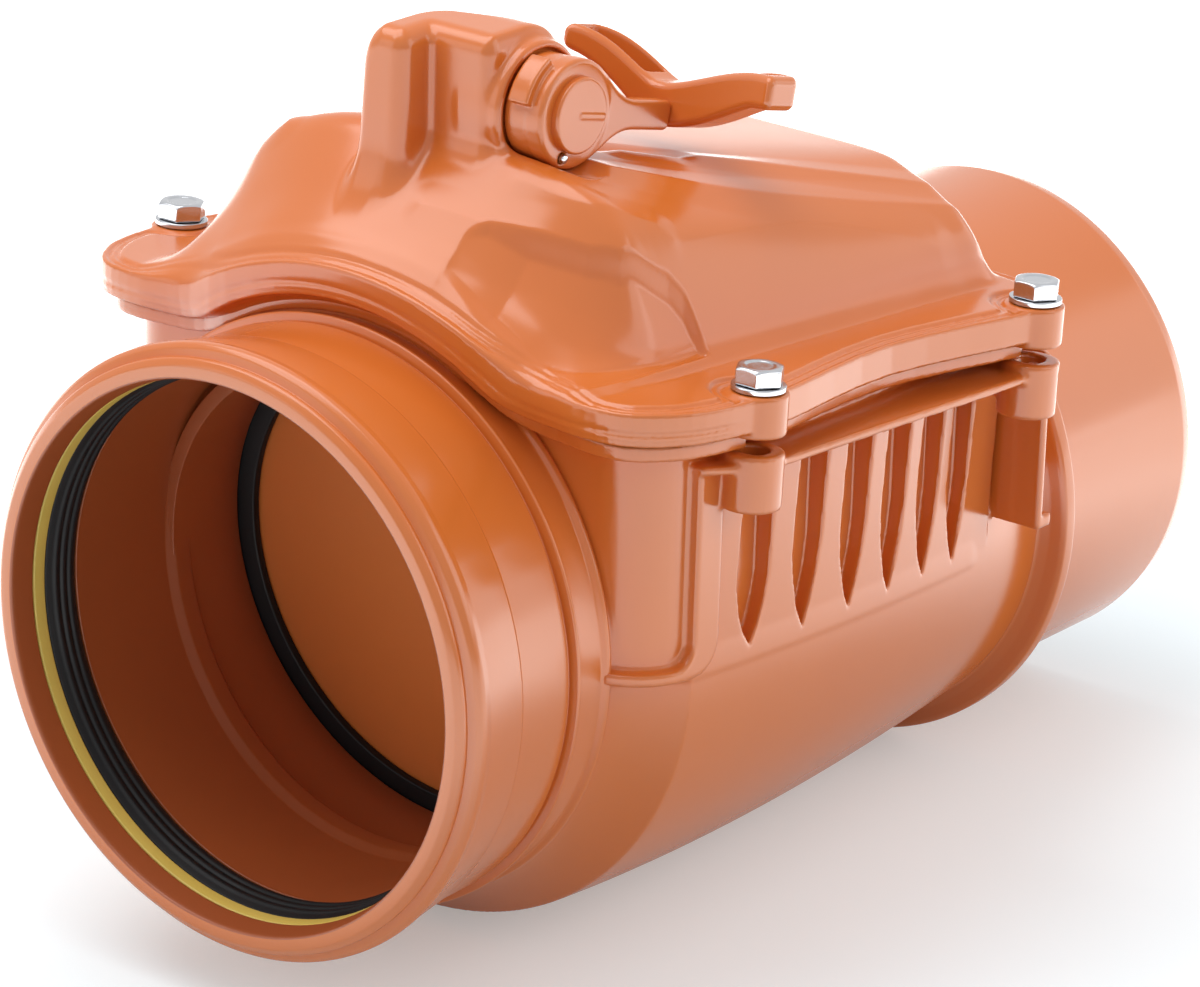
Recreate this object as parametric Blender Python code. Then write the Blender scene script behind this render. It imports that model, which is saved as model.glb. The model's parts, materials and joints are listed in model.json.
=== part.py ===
"""Backwater valve with a bell socket, a hanging flap, a bolted cover and a locking lever.

Metres. X runs across the pipe and Y from the socket's lip to the spigot's end. Meshes are drawn in the
valve's own frame, whose origin is the centre of the socket's lip. An empty stands that frame on the
valve's lowest point and centres its length.
"""

import math

import bmesh
import bpy
from mathutils import Matrix, Vector

# Running gap between touching pieces, and how far a cutter reaches past the face it opens.
gap = 0.0003
reach = 0.010
round_steps = 44
small_steps = 16

# Pipe sizes: the spigot is a 160 mm pipe and the socket takes one.
spigot_radius = 0.0800
spigot_wall = 0.0040
spigot_chamfer = 0.0025
overall_length = 0.3809
socket_bore = 0.0804
bore_entry_radius = 0.0822

# Socket outside, along Y from the lip.
lip_bead_radius = 0.0920
lip_bead_end = 0.0100
socket_radius = 0.0880
socket_ridge = 0.0018
ridge_places = (0.0505, 0.0645)
socket_depth = 0.0640

# Seal groove inside the socket.
groove_start = 0.0080
groove_length = 0.0175
groove_radius = 0.0833
retaining_ring_length = 0.0048
retaining_ring_bore = 0.0805
seal_bore = 0.0780

# Chamber: a barrel whose centre line drops towards the outlet.
shoulder_start = 0.0650
shoulder_end = 0.0880
belly_front_radius = 0.1010
belly_rear_radius = 0.0805
belly_end = 0.2930
belly_taper_power = 1.75
outlet_drop = 0.0200
drop_start = 0.0600
drop_end = 0.2900
body_wall = 0.0050

# Upper box of the chamber, which carries the flange.
box_front = 0.0660
box_rear = 0.2620
box_corner = 0.0180
box_inset = 0.0004
front_wall = 0.0085

# Seat: a short tube into the chamber, cut off square to its leaning axis.
seat_bore = 0.0785
seat_outer = 0.0830
seat_place = 0.0950
seat_height = -0.0040
seat_tilt = math.radians(6)

# Flange plane, through the front bolts, falling to the rear. Heights on it are measured square to it.
flange_slope = math.radians(3.3)
bolt_front = 0.1029
bolt_height = 0.0811
bolt_across = 0.1095
bolt_pitch = 0.1376
flange_thickness = 0.0100
body_flange_thickness = 0.0050
arch_radius = 0.1050
arch_fillet = 0.0250
arch_centre = -0.0837
arch_front = -0.0550
arch_rear = -0.0290
boss_radius = 0.0090
cover_boss_height = 0.0155
body_boss_top = 0.0170
body_boss_height = 0.0170
shelf_height = 0.0200
shelf_thickness = 0.0026
shelf_edge = 0.1140

# Cover gasket, in a groove of the body's flange and a little below the cover's face.
gasket_width = 0.0040
gasket_height = 0.0022
gasket_lift = 0.0006

# Dagger pockets between the side ribs.
pocket_count = 6
pocket_start = 0.1160
pocket_pitch = 0.0275
pocket_pitch_change = -0.0021
pocket_width = 0.0155
pocket_shrink = 0.0006
pocket_tip_rise = 0.0035
pocket_bite = 0.0015

# Rear ring and the strap, ledge and gusset on the chamber's sides.
ring_radius = 0.0890
ring_place = 0.2985
ring_width = 0.0060
strap_proud = 0.0045
strap_start = 0.0830
strap_width = 0.0120
ledge_thickness = 0.0036
gusset_start = 0.2350
gusset_width = 0.0270
gusset_depth = 0.0550

# Cover: half sections of the dome, as (across, height over the socket's axis).
cover_wall = 0.0040
nose_place = 0.0520
nose_section = ((0, 0.104), (0.020, 0.1025), (0.038, 0.098), (0.052, 0.091), (0.062, 0.086), (0.074, 0.0835), (0.084, 0.0795))
brow_place = 0.0720
brow_section = ((0, 0.120), (0.020, 0.119), (0.038, 0.115), (0.054, 0.107), (0.066, 0.099), (0.077, 0.091), (0.086, 0.0795))
crown_place = 0.0920
crown_section = ((0, 0.1365), (0.031, 0.1355), (0.053, 0.130), (0.066, 0.122), (0.073, 0.111), (0.081, 0.093), (0.086, 0.0785))
tail_place = 0.2450
tail_section = ((0, 0.1075), (0.045, 0.1070), (0.058, 0.104), (0.070, 0.098), (0.081, 0.0905), (0.086, 0.083), (0.088, 0.0705))
heel_place = 0.2560
heel_drop = 0.0270
dome_floor = 0.0040

# Tower over the flap's hinge, as a block with a bay in front of it.
tower_left = -0.0170
tower_right = 0.0260
tower_front = 0.0890
tower_rear = 0.1290
tower_top = 0.1690
tower_root = 0.1100
tower_corner = 0.0125
bay_right = 0.0020
bay_front = 0.0750
shaft_boss_radius = 0.0195
shaft_boss_proud = 0.0020

# Shaft of the locking lever.
shaft_place = 0.1080
shaft_height = 0.1460
shaft_radius = 0.0065
shaft_left = -0.0158
shaft_face = 0.0395

# Lever, handle and cap on the shaft's right end.
hub_radius = 0.0158
hub_start = 0.0284
hub_face = 0.0400
hub_relief = 0.0020
cap_radius = 0.0110
cap_height = 0.0022
lever_length = 0.0440
lever_drop = math.radians(13)
lever_end_height = 0.0085
lever_root_height = 0.0150
lever_thickness = 0.0060
handle_centre = 0.0385
handle_span = 0.0770
handle_chord = 0.0160
handle_depth = 0.0118
handle_lift = 0.0035
handle_rise = 0.0130
handle_rim = 0.0026
tenon_length = 0.0080
tenon_height = 0.0050
lever_pin_radius = 0.0014

# Locking arm inside the tower.
arm_centre = -0.0070
arm_width = 0.0080
arm_length = 0.0460
arm_rest = math.radians(41)
arm_thickness = 0.0080
arm_hub_radius = 0.0105

# Flap and its hinge.
hinge_place = 0.0980
hinge_height = 0.0880
hinge_pin_radius = 0.0030
hinge_pin_half = 0.0400
knuckle_radius = 0.0064
knuckle_places = ((-0.0280, 0.0080), (-0.0130, 0.0120), (0.0200, 0.0080))
bracket_inner = 0.0290
bracket_width = 0.0060
flap_radius = 0.0835
flap_thickness = 0.0045
flap_dish = 0.0040
gasket_outer = 0.0815
gasket_inner = 0.0725
gasket_thickness = 0.0030
horn_length = 0.0240
horn_lean = math.radians(51)
horn_thickness = 0.0060

# Fasteners: M8 bolts with washers and nuts.
bolt_radius = 0.0038
bolt_across_flats = 0.0130
bolt_head_height = 0.0053
washer_radius = 0.0080
washer_thickness = 0.0016
nut_height = 0.0065
bolt_hole = 0.0045

# The rear ring is the lowest piece, and it rests on one flat facet.
axis_height = outlet_drop + ring_radius * math.cos(math.pi / round_steps)
valve_frame = None


def start_scene():
    """Empties the scene and sets up the frame that every piece hangs from."""
    global valve_frame
    for old in list(bpy.data.objects):
        bpy.data.objects.remove(old, do_unlink=True)
    valve_frame = bpy.data.objects.new("valve_frame", None)
    valve_frame.location = (0, -overall_length / 2, axis_height)
    bpy.context.scene.collection.objects.link(valve_frame)


def make_material(name, colour, roughness, metallic=0.0):
    material = bpy.data.materials.new(name)
    material.use_nodes = True
    shader = material.node_tree.nodes["Principled BSDF"]
    shader.inputs["Base Color"].default_value = (*colour, 1)
    shader.inputs["Roughness"].default_value = roughness
    shader.inputs["Metallic"].default_value = metallic
    material.diffuse_color = (*colour, 1)
    return material


def make_object(name, bm, material=None, origin=(0, 0, 0)):
    """A mesh object under the valve's frame, with its own origin where it turns."""
    bmesh.ops.recalc_face_normals(bm, faces=bm.faces)
    bm.transform(Matrix.Translation(-Vector(origin)))
    mesh = bpy.data.meshes.new(name)
    bm.to_mesh(mesh)
    bm.free()
    mesh.shade_smooth()
    mesh.set_sharp_from_angle(angle=math.radians(35))
    made = bpy.data.objects.new(name, mesh)
    made.location = origin
    made.parent = valve_frame
    bpy.context.scene.collection.objects.link(made)
    if material:
        mesh.materials.append(material)
    return made


def combine(target, other, operation):
    """Adds a Boolean to target and hides the piece that it uses."""
    other.hide_render = True
    other.display_type = "WIRE"
    modifier = target.modifiers.new(other.name, "BOOLEAN")
    modifier.operation = operation
    modifier.solver = "EXACT"
    modifier.object = other


def join(target, *others):
    for other in others:
        combine(target, other, "UNION")


def cut(target, *others):
    for other in others:
        combine(target, other, "DIFFERENCE")


def loft(rings, closed=False, matrix=None):
    """A skin through rings of as many points each, with flat ends or joined into a loop."""
    bm = bmesh.new()
    rows = [[bm.verts.new(point) for point in ring] for ring in rings]
    count = len(rows[0])
    pairs = list(zip(rows, rows[1:]))
    if closed:
        pairs.append((rows[-1], rows[0]))
    for near, far in pairs:
        for i in range(count):
            j = (i + 1) % count
            bm.faces.new((near[i], near[j], far[j], far[i]))
    if not closed:
        bm.faces.new(rows[0])
        bm.faces.new(rows[-1])
    if matrix:
        bm.transform(matrix)
    return bm


def circle(radius, centre=(0, 0), steps=round_steps):
    """Points of a circle with a flat facet at its lowest place."""
    turns = [2 * math.pi * (i + 0.5) / steps for i in range(steps)]
    return [(centre[0] - radius * math.sin(a), centre[1] - radius * math.cos(a)) for a in turns]


def turned(profile, steps=round_steps, matrix=None):
    """A ring turned about Y from a closed profile of (radius, place along Y)."""
    rings = [[(x, y, z) for x, z in circle(r, steps=steps)] for r, y in profile]
    return loft(rings, closed=True, matrix=matrix)


def rod(radius, start, end, centre=(0, 0), axis="Y", steps=small_steps, matrix=None):
    """A solid cylinder along an axis. Centre holds the other two coordinates in X, Y, Z order."""
    order = {"X": (2, 0, 1), "Y": (0, 2, 1), "Z": (0, 1, 2)}[axis]
    rings = []
    for place in (start, end):
        flat = [(a, b, place) for a, b in circle(radius, centre, steps)]
        rings.append([tuple(point[i] for i in order) for point in flat])
    return loft(rings, matrix=matrix)


def extruded(outline, low, high, axis="Z", matrix=None):
    """A flat outline pushed along an axis. The outline holds the other two coordinates in order."""
    order = {"X": (2, 0, 1), "Y": (0, 2, 1), "Z": (0, 1, 2)}[axis]
    rings = []
    for place in (low, high):
        rings.append([tuple((a, b, place)[i] for i in order) for a, b in outline])
    return loft(rings, matrix=matrix)


def upright(outline, low, high):
    """A plan outline pulled between two heights, each a function of the place along Y."""
    return loft([[(x, y, low(y)) for x, y in outline], [(x, y, high(y)) for x, y in outline]])


def block(x_range, y_range, z_range, matrix=None):
    corners = [(x_range[0], y_range[0]), (x_range[1], y_range[0]), (x_range[1], y_range[1]), (x_range[0], y_range[1])]
    return extruded(corners, *z_range, matrix=matrix)


def rounded(x_range, y_range, radius, steps=5):
    """A rectangle's outline with round corners."""
    outline = []
    corners = ((1, 1, 0), (0, 1, 90), (0, 0, 180), (1, 0, 270))
    for right, rear, turn in corners:
        x = x_range[1] - radius if right else x_range[0] + radius
        y = y_range[1] - radius if rear else y_range[0] + radius
        for i in range(steps + 1):
            a = math.radians(turn + 90 * i / steps)
            outline.append((x + radius * math.cos(a), y + radius * math.sin(a)))
    return outline


def smooth_line(points, steps):
    """A curve through open points, with the ends kept."""
    ends = [points[0], *points, points[-1]]
    line = []
    for a, b, c, d in zip(ends, ends[1:], ends[2:], ends[3:]):
        for i in range(steps):
            t = i / steps
            line.append(tuple(
                0.5 * (2 * q + (r - p) * t + (2 * p - 5 * q + 4 * r - s) * t**2 + (3 * q - p - 3 * r + s) * t**3)
                for p, q, r, s in zip(a, b, c, d)
            ))
    return line + [points[-1]]


def mirrored(line):
    """An open line from the middle outwards, continued on the other side as a closed outline."""
    return line + [(-x, y) for x, y in reversed(line) if abs(x) > 1e-9]


def lean(angle, place, height):
    """A frame whose Z axis leans back about X, set at a place along Y and a height."""
    return Matrix.Translation((0, place, height)) @ Matrix.Rotation(angle, 4, "X")


on_flange = lean(-flange_slope, bolt_front, bolt_height)
on_seat = lean(seat_tilt, seat_place, seat_height)
on_shaft = Matrix.Translation((0, shaft_place, shaft_height))


def flange_z(y):
    """Height of the flange plane at a place along Y."""
    return bolt_height - math.tan(flange_slope) * (y - bolt_front)


def centre_z(y):
    """Height of the chamber's centre line, which drops evenly towards the outlet."""
    share = min(max((y - drop_start) / (drop_end - drop_start), 0), 1)
    return -outlet_drop * share


def belly_radius(y):
    if y < shoulder_end:
        share = max((y - shoulder_start) / (shoulder_end - shoulder_start), 0)
        return socket_radius + (belly_front_radius - socket_radius) * share**1.6
    share = min((y - shoulder_end) / (belly_end - shoulder_end), 1)
    return belly_front_radius - (belly_front_radius - belly_rear_radius) * share**belly_taper_power


def spread(start, end, count):
    return [start + (end - start) * i / (count - 1) for i in range(count)]


def arch_height(x, drop):
    """Height on the flange of the arch over the socket, lowered by drop, with a fillet at each foot."""
    radius = arch_radius - drop
    fillet = arch_fillet + drop
    level = -arch_centre - drop
    turn_x = math.sqrt((radius + fillet) ** 2 - (level + fillet) ** 2)
    touch_x = turn_x * radius / (radius + fillet)
    if abs(x) < touch_x:
        return math.sqrt(radius**2 - x**2) + arch_centre
    if abs(x) < turn_x:
        return level + fillet - math.sqrt(fillet**2 - (turn_x - abs(x)) ** 2) + arch_centre
    return level + arch_centre


def arch_line(drop, half, steps=18):
    return [(x, arch_height(x, drop)) for x in spread(0, half, steps)]


def arch_block(drop, half, bottom, start, end):
    line = arch_line(drop, half)
    outline = [(-x, z) for x, z in reversed(line[1:])] + line + [(half, bottom), (-half, bottom)]
    return extruded(outline, start, end, axis="Y", matrix=on_flange)


def flange_outline(inset, front_inset=0.0):
    """Half of the flange's plan from the front middle round to the rear middle, then its mirror image."""
    side = bolt_across + 0.0045 - inset
    waist = side - 0.0030
    front = arch_front + 0.0020 + front_inset
    rear = bolt_pitch + 0.0210 - inset
    half = [
        (0, front),
        (0.045, front + 0.001),
        (0.066, front + 0.006),
        (side - 0.028, front + 0.004),
        (side - 0.014, front + 0.008),
        (side - 0.004, front + 0.022),
        (side, -0.012),
        (side, 0.008),
        (waist, bolt_pitch / 2),
        (side, bolt_pitch - 0.008),
        (side - 0.001, bolt_pitch + 0.006),
        (side - 0.012, rear - 0.005),
        (side - 0.035, rear),
        (0, rear),
    ]
    return mirrored(smooth_line(half, 3))


def dome_section(y, inset):
    """Half a cross-section of the dome, smoothly between its named sections and drawn in by inset."""
    stations = (
        (nose_place, nose_section), (brow_place, brow_section),
        (crown_place, crown_section), (tail_place, tail_section),
    )
    near, far = stations[0], stations[1]
    for a, b in zip(stations, stations[1:]):
        if y >= a[0]:
            near, far = a, b
    share = min((y - near[0]) / (far[0] - near[0]), 1)
    fall = heel_drop * max((y - tail_place) / (heel_place - tail_place), 0) ** 1.5
    half = []
    for (x0, z0), (x1, z1) in zip(near[1], far[1]):
        x = x0 + (x1 - x0) * share
        z = max(z0 + (z1 - z0) * share - fall, flange_z(y) - dome_floor)
        half.append((x * (1 - inset / crown_section[-1][0]), z - inset))
    return smooth_line(half, 2)


def dome(inset, floor, start, end):
    """The dome's skin between two places along Y, down to a floor under the flange plane."""
    places = [y for y in (nose_place, 0.062, brow_place, 0.082, crown_place) if start < y < end]
    places += [y for y in spread(0.115, tail_place, 6) if start < y < end]
    places += [y for y in (0.250, 0.2535) if start < y < end]
    rings = []
    for y in [start, *places, end]:
        half = dome_section(y, inset)
        edge = half[-1][0]
        line = [*half, (edge, flange_z(y) - floor)]
        rings.append([(x, y, z) for x, z in mirrored(line)])
    return loft(rings)


def body_shell(material):
    """The chamber's barrel, which everything else on the body joins."""
    places = [*spread(shoulder_start, shoulder_end, 6), *spread(0.105, belly_end, 11)]
    rings = []
    for y in places:
        rings.append([(x, y, z + centre_z(y)) for x, z in circle(belly_radius(y))])
    return make_object("valve_body", loft(rings), material)


def box_outline(offset, front, rear):
    """Plan of the chamber's upper box: sides on the barrel's widest line, round corners in front."""
    half = []
    for i in range(6):
        a = math.radians(90 * i / 5)
        corner = box_corner + offset
        side = belly_radius(front + box_corner + 0.006) - box_inset + offset
        half.append((side - corner + corner * math.sin(a), front + corner - corner * math.cos(a)))
    for y in spread(front + box_corner + 0.010, rear - 0.012, 8):
        half.append((belly_radius(y) - box_inset + offset, y))
    half.append((belly_radius(rear) - box_inset + offset - 0.004, rear - 0.003))
    half.append((belly_radius(rear) - box_inset + offset - 0.012, rear))
    return mirrored(half)


def upper_box():
    outline = box_outline(0, box_front, box_rear)
    under = body_flange_thickness + flange_thickness - 0.002
    return make_object("upper_box", upright(outline, lambda y: centre_z(y) + 0.002, lambda y: flange_z(y) - under))


def side_pad(side):
    """Ribbed skirt that flares from the barrel to the shelf under the flange."""
    top = shelf_height + shelf_thickness / 2
    rings = []
    for y in spread(bolt_front - 0.006, gusset_start + 0.002, 7):
        r = belly_radius(y)
        z = centre_z(y)
        high = flange_z(y) - top
        flare = [(r - 0.004, z - 0.022)]
        for share in (0, 0.2, 0.4, 0.6, 0.8, 1):
            start = z - 0.006
            flare.append((r + 0.0004 + (shelf_edge - 0.0015 - r) * share**1.5, start + (high - start) * share))
        flare.append((r - 0.004, high))
        rings.append([(side * x, y, h) for x, h in flare])
    return make_object("side_pad", loft(rings))


def pocket_cutter(side):
    """Row of dagger-shaped pockets, deepest along their middle, in one cutter."""
    bm = bmesh.new()
    y = pocket_start
    for i in range(pocket_count):
        width = pocket_width - pocket_shrink * i
        low = centre_z(y) + pocket_tip_rise
        high = flange_z(y) - shelf_height - shelf_thickness
        if i == 0:
            high = flange_z(y) - body_boss_top - body_boss_height - 0.002
        depth = belly_radius(y) - pocket_bite
        shape = [(-0.5, 1), (-0.5, 0.45), (-0.34, 0.18), (0, 0), (0.34, 0.18), (0.5, 0.45), (0.5, 1)]
        inner = [(side * depth, y + 0.35 * a * width, low + (high - low) * (0.05 + 0.95 * b)) for a, b in shape]
        outer = [(side * (shelf_edge + reach), y + 1.25 * a * width, low + (high - low) * b) for a, b in shape]
        rows = [[bm.verts.new(point) for point in ring] for ring in (inner, outer)]
        for a in range(len(shape)):
            b = (a + 1) % len(shape)
            bm.faces.new((rows[0][a], rows[0][b], rows[1][b], rows[1][a]))
        bm.faces.new(rows[0])
        bm.faces.new(rows[1])
        y += pocket_pitch + pocket_pitch_change * i
    return make_object("pocket_cutter", bm)


def side_rails(side):
    """Shelf and strap on one side of the chamber."""
    shelf_outline = [
        (side * 0.080, strap_start - bolt_front + 0.001),
        (side * (belly_front_radius + strap_proud), strap_start - bolt_front + 0.001),
        (side * (shelf_edge + 0.0010), -0.004),
        (side * shelf_edge, bolt_pitch + 0.004),
        (side * (ring_radius + 0.012), bolt_pitch + 0.020),
        (side * 0.070, bolt_pitch + 0.020),
    ]
    shelf = extruded(shelf_outline, -shelf_height - shelf_thickness, -shelf_height, matrix=on_flange)
    strap_x = sorted((side * 0.092, side * (belly_front_radius + strap_proud)))
    strap = block(strap_x, (strap_start, strap_start + strap_width), (-ledge_thickness / 2 + 0.0004, flange_z(strap_start) - shelf_height - 0.0006))
    return [make_object("shelf", shelf), make_object("strap", strap)]


def gusset(side):
    """Box under the rear boss that stiffens the chamber's corner."""
    across = sorted((side * 0.074, side * (belly_front_radius + 0.0025)))
    top = flange_z(gusset_start + gusset_width) - shelf_height - 0.0008
    return make_object("gusset", block(across, (gusset_start, gusset_start + gusset_width), (top - gusset_depth, top)))


def gusset_cutter(side):
    hollow_x = sorted((side * 0.0945, side * 0.130))
    top = flange_z(gusset_start + gusset_width) - shelf_height - shelf_thickness - 0.003
    hollow_y = (gusset_start + 0.008, gusset_start + gusset_width - 0.004)
    return make_object("gusset_hollow", block(hollow_x, hollow_y, (top - gusset_depth + 0.008, top)))


def ledge():
    """Thin rib round the box's front corners, from one strap to the other."""
    rear = strap_start + strap_width
    outline = box_outline(strap_proud - 0.0008, box_front - 0.0015, box_rear)
    front_half = [point for point in outline if point[1] < rear]
    side = front_half[len(front_half) // 2 - 1][0]
    right = [point for point in front_half if point[0] > 0] + [(side, rear)]
    return make_object("ledge", extruded(mirrored(right), -ledge_thickness / 2, ledge_thickness / 2))


def bolt_places():
    return [(side * bolt_across, place) for place in (0, bolt_pitch) for side in (-1, 1)]


def body_bosses():
    """Bosses for the nuts, each with an arm that ties it to the chamber's wall."""
    made = []
    low = -body_boss_top - body_boss_height
    for x, s in bolt_places():
        made.append(make_object("body_boss", rod(boss_radius, low, -body_boss_top, (x, s), "Z", matrix=on_flange)))
        tie_x = sorted((math.copysign(0.088, x), math.copysign(bolt_across - 0.002, x)))
        tie = block(tie_x, (s - boss_radius + 0.003, s + boss_radius - 0.003), (low + 0.0045, -body_boss_top - 0.0008), matrix=on_flange)
        made.append(make_object("boss_tie", tie))
    return made


def body_flange():
    """Thin flange under the cover's, with the arch and the wall that fills it."""
    top = flange_thickness + gap
    plate = extruded(flange_outline(0.0045, 0.003), -top - body_flange_thickness, -top, matrix=on_flange)
    arch = arch_block(top, 0.076, -top - body_flange_thickness + 0.0004, arch_front + 0.0035, arch_rear - 0.0005)
    wall = arch_block(top + 0.0002, 0.072, -0.050, box_front - bolt_front + 0.005, arch_rear - 0.0007)
    return [make_object("body_flange", plate), make_object("body_arch", arch), make_object("arch_wall", wall)]


def under_arch_cutter():
    """Room between the thin arch and the socket, in front of the chamber's wall."""
    drop = flange_thickness + gap + body_flange_thickness
    return make_object("under_arch", arch_block(drop, 0.0755, -0.060, arch_front - 0.020, box_front - bolt_front + 0.0047))


def spigot_and_ring():
    drop = Matrix.Translation((0, 0, -outlet_drop))
    ring = [[(x, y, z - outlet_drop) for x, z in circle(r)] for r, y in (
        (ring_radius - 0.001, ring_place - ring_width / 2),
        (ring_radius, ring_place - ring_width / 2 + 0.001),
        (ring_radius, ring_place + ring_width / 2 - 0.001),
        (ring_radius - 0.001, ring_place + ring_width / 2),
    )]
    end = overall_length
    tube = [[(x, y, z - outlet_drop) for x, z in circle(r)] for r, y in (
        (spigot_radius, 0.280), (spigot_radius, end - 2 * spigot_chamfer), (spigot_radius - spigot_chamfer / 2, end),
    )]
    bore = rod(spigot_radius - spigot_wall, 0.272, end + reach, steps=round_steps, matrix=drop)
    return make_object("rear_ring", loft(ring)), make_object("spigot", loft(tube)), make_object("outlet_bore", bore)


def chamber_cutters():
    """Inside of the barrel, of the upper box, and the way in through the front wall."""
    front = box_front + front_wall
    rings = []
    for y in [front, *spread(shoulder_end, belly_end - 0.006, 10)]:
        r = belly_radius(max(y, shoulder_end)) - body_wall
        rings.append([(x, y, z + centre_z(y)) for x, z in circle(r)])
    barrel = make_object("chamber_barrel", loft(rings))
    outline = box_outline(-body_wall, front, box_rear - body_wall)
    top = upright(outline, lambda y: centre_z(y) + 0.003, lambda y: flange_z(y) + 0.040)
    way_in = rod(seat_bore + 0.0025, box_front - 0.020, front + 0.004, steps=round_steps)
    return barrel, make_object("chamber_top", top), make_object("way_in", way_in)


def socket_shell():
    """Bell socket with its bead, ridges and seal groove, turned in one piece."""
    first, second = ridge_places
    end = box_front + front_wall - 0.002
    profile = [
        (bore_entry_radius + 0.0008, 0), (socket_radius - 0.0010, 0), (socket_radius + 0.0006, 0.0016),
        (socket_radius + 0.0004, 0.0032), (lip_bead_radius - 0.0008, 0.0044), (lip_bead_radius, 0.0064),
        (lip_bead_radius - 0.0006, lip_bead_end), (socket_radius + 0.0008, 0.0270), (socket_radius, 0.0274),
        (socket_radius - 0.0004, first - 0.0020), (socket_radius - 0.0016, first - 0.0012),
        (socket_radius + socket_ridge, first), (socket_radius + 0.0003, first + 0.0020),
        (socket_radius + 0.0003, second - 0.0020), (socket_radius + socket_ridge, second),
        (socket_radius, second + 0.0020), (socket_radius, end), (seat_bore - 0.0001, end),
        (seat_bore, socket_depth + 0.0030), (socket_bore, socket_depth),
        (socket_bore, groove_start + groove_length), (groove_radius, groove_start + groove_length),
        (groove_radius, groove_start), (bore_entry_radius - 0.0006, groove_start), (bore_entry_radius, 0.0012),
    ]
    return make_object("socket_shell", turned(profile))


def seat_tube():
    """Tube into the chamber whose leaning end is the flap's seat, with the hinge's two brackets on top."""
    length = seat_place - box_front
    profile = [(seat_bore, -length), (seat_outer, -length), (seat_outer, -0.002), (seat_outer - 0.0012, 0), (seat_bore, 0)]
    tube = make_object("seat_tube", turned(profile, matrix=on_seat))
    for side in (-1, 1):
        x_range = sorted((side * bracket_inner, side * (bracket_inner + bracket_width)))
        reach_y = hinge_place + knuckle_radius * 0.7
        high = hinge_height + knuckle_radius
        outline = [
            (box_front + 0.009, seat_outer - 0.014), (seat_place - 0.0135, seat_outer - 0.014),
            (seat_place - 0.0135, hinge_height - 0.0085), (reach_y, hinge_height - knuckle_radius * 0.9),
            (hinge_place + knuckle_radius, hinge_height), (reach_y, high - 0.002), (hinge_place, high),
            (seat_place - 0.012, high - 0.004), (box_front + 0.009, seat_outer - 0.004),
        ]
        join(tube, make_object("hinge_bracket", extruded(outline, *x_range, axis="X")))
    return tube


def hinge_bore():
    half = bracket_inner + bracket_width + reach
    bore = rod(hinge_pin_radius + gap, -half, half, (hinge_place, hinge_height), "X", steps=small_steps)
    return make_object("hinge_bore", bore)


def bolt_cutters(low, high, radius):
    made = []
    for x, s in bolt_places():
        made.append(make_object("bolt_bore", rod(radius, low, high, (x, s), "Z", matrix=on_flange)))
    return made


def hexagon(across_flats, centre):
    r = across_flats / math.sqrt(3)
    turns = [math.radians(60 * i) for i in range(6)]
    return [(centre[0] + r * math.cos(a), centre[1] + r * math.sin(a)) for a in turns]


def nut_cutters():
    low = -body_boss_top - body_boss_height
    made = []
    for x, s in bolt_places():
        outline = hexagon(bolt_across_flats + 2 * gap, (x, s))
        made.append(make_object("nut_pocket", extruded(outline, low - 0.002, low + nut_height + 2 * gap, matrix=on_flange)))
    return made


def gasket_path(width, depth, lift):
    """Closed ribbon on the parting face: round the chamber and over the arch at the front."""
    side = belly_front_radius - 0.0035
    front = arch_front + 0.0120
    rear = bolt_pitch + 0.0110
    corners = [(0, front), (0.030, front), (0.060, front + 0.002), (side - 0.012, front + 0.004), (side - 0.002, front + 0.020),
               (side, 0), (side - 0.004, bolt_pitch / 2), (side - 0.008, bolt_pitch - 0.015), (side - 0.014, rear - 0.008), (side - 0.030, rear), (0, rear)]
    middle = mirrored(smooth_line(corners, 3))
    top = flange_thickness + lift
    rings = []
    for i, (x, s) in enumerate(middle):
        before, after = middle[i - 1], middle[(i + 1) % len(middle)]
        along = Vector((after[0] - before[0], after[1] - before[1])).normalized()
        across = Vector((along.y, -along.x)) * width / 2
        h = -top
        if s < arch_rear:
            h = arch_height(x, top)
        corners4 = ((1, h), (1, h - depth), (-1, h - depth), (-1, h))
        rings.append([(x + k * across.x, s + k * across.y, z) for k, z in corners4])
    return loft(rings, closed=True, matrix=on_flange)


def parting_clearance():
    """All that would stand above the parting face, from the front wall to behind the flange."""
    face = (arch_front, bolt_pitch + 0.0220)
    return make_object("parting_clearance", block((-0.130, 0.130), face, (-flange_thickness - gap, 0.080), on_flange))


def cover_boss_cutters():
    """Room for the cover's bosses, which reach down past the parting face."""
    made = []
    for x, s in bolt_places():
        hole = rod(boss_radius + 2 * gap, -body_boss_top, -flange_thickness + 0.001, (x, s), "Z", matrix=on_flange)
        made.append(make_object("cover_boss_room", hole))
    return made


def make_body(material):
    body = body_shell(material)
    ring, spigot, bore = spigot_and_ring()
    join(body, upper_box(), ledge())
    cut(body, parting_clearance())
    join(body, *body_flange())
    cut(body, *cover_boss_cutters())
    for side in (-1, 1):
        join(body, side_pad(side), *side_rails(side))
    join(body, *body_bosses())
    for side in (-1, 1):
        cut(body, pocket_cutter(side))
        join(body, gusset(side))
        cut(body, gusset_cutter(side))
    join(body, ring, spigot)
    cut(body, under_arch_cutter(), *chamber_cutters(), bore)
    join(body, socket_shell(), seat_tube())
    cut(body, hinge_bore())
    low = -body_boss_top - body_boss_height - reach
    cut(body, *bolt_cutters(low, -flange_thickness, bolt_hole), *nut_cutters())
    cut(body, make_object("gasket_groove", gasket_path(gasket_width + 2 * gap, gasket_height + gasket_lift + gap, 0.0)))
    return body


def shaft_bore_cutter():
    bore = rod(shaft_radius + gap, shaft_left - gap, hub_start + reach, (shaft_place, shaft_height), "X")
    return make_object("shaft_bore", bore)


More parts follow.
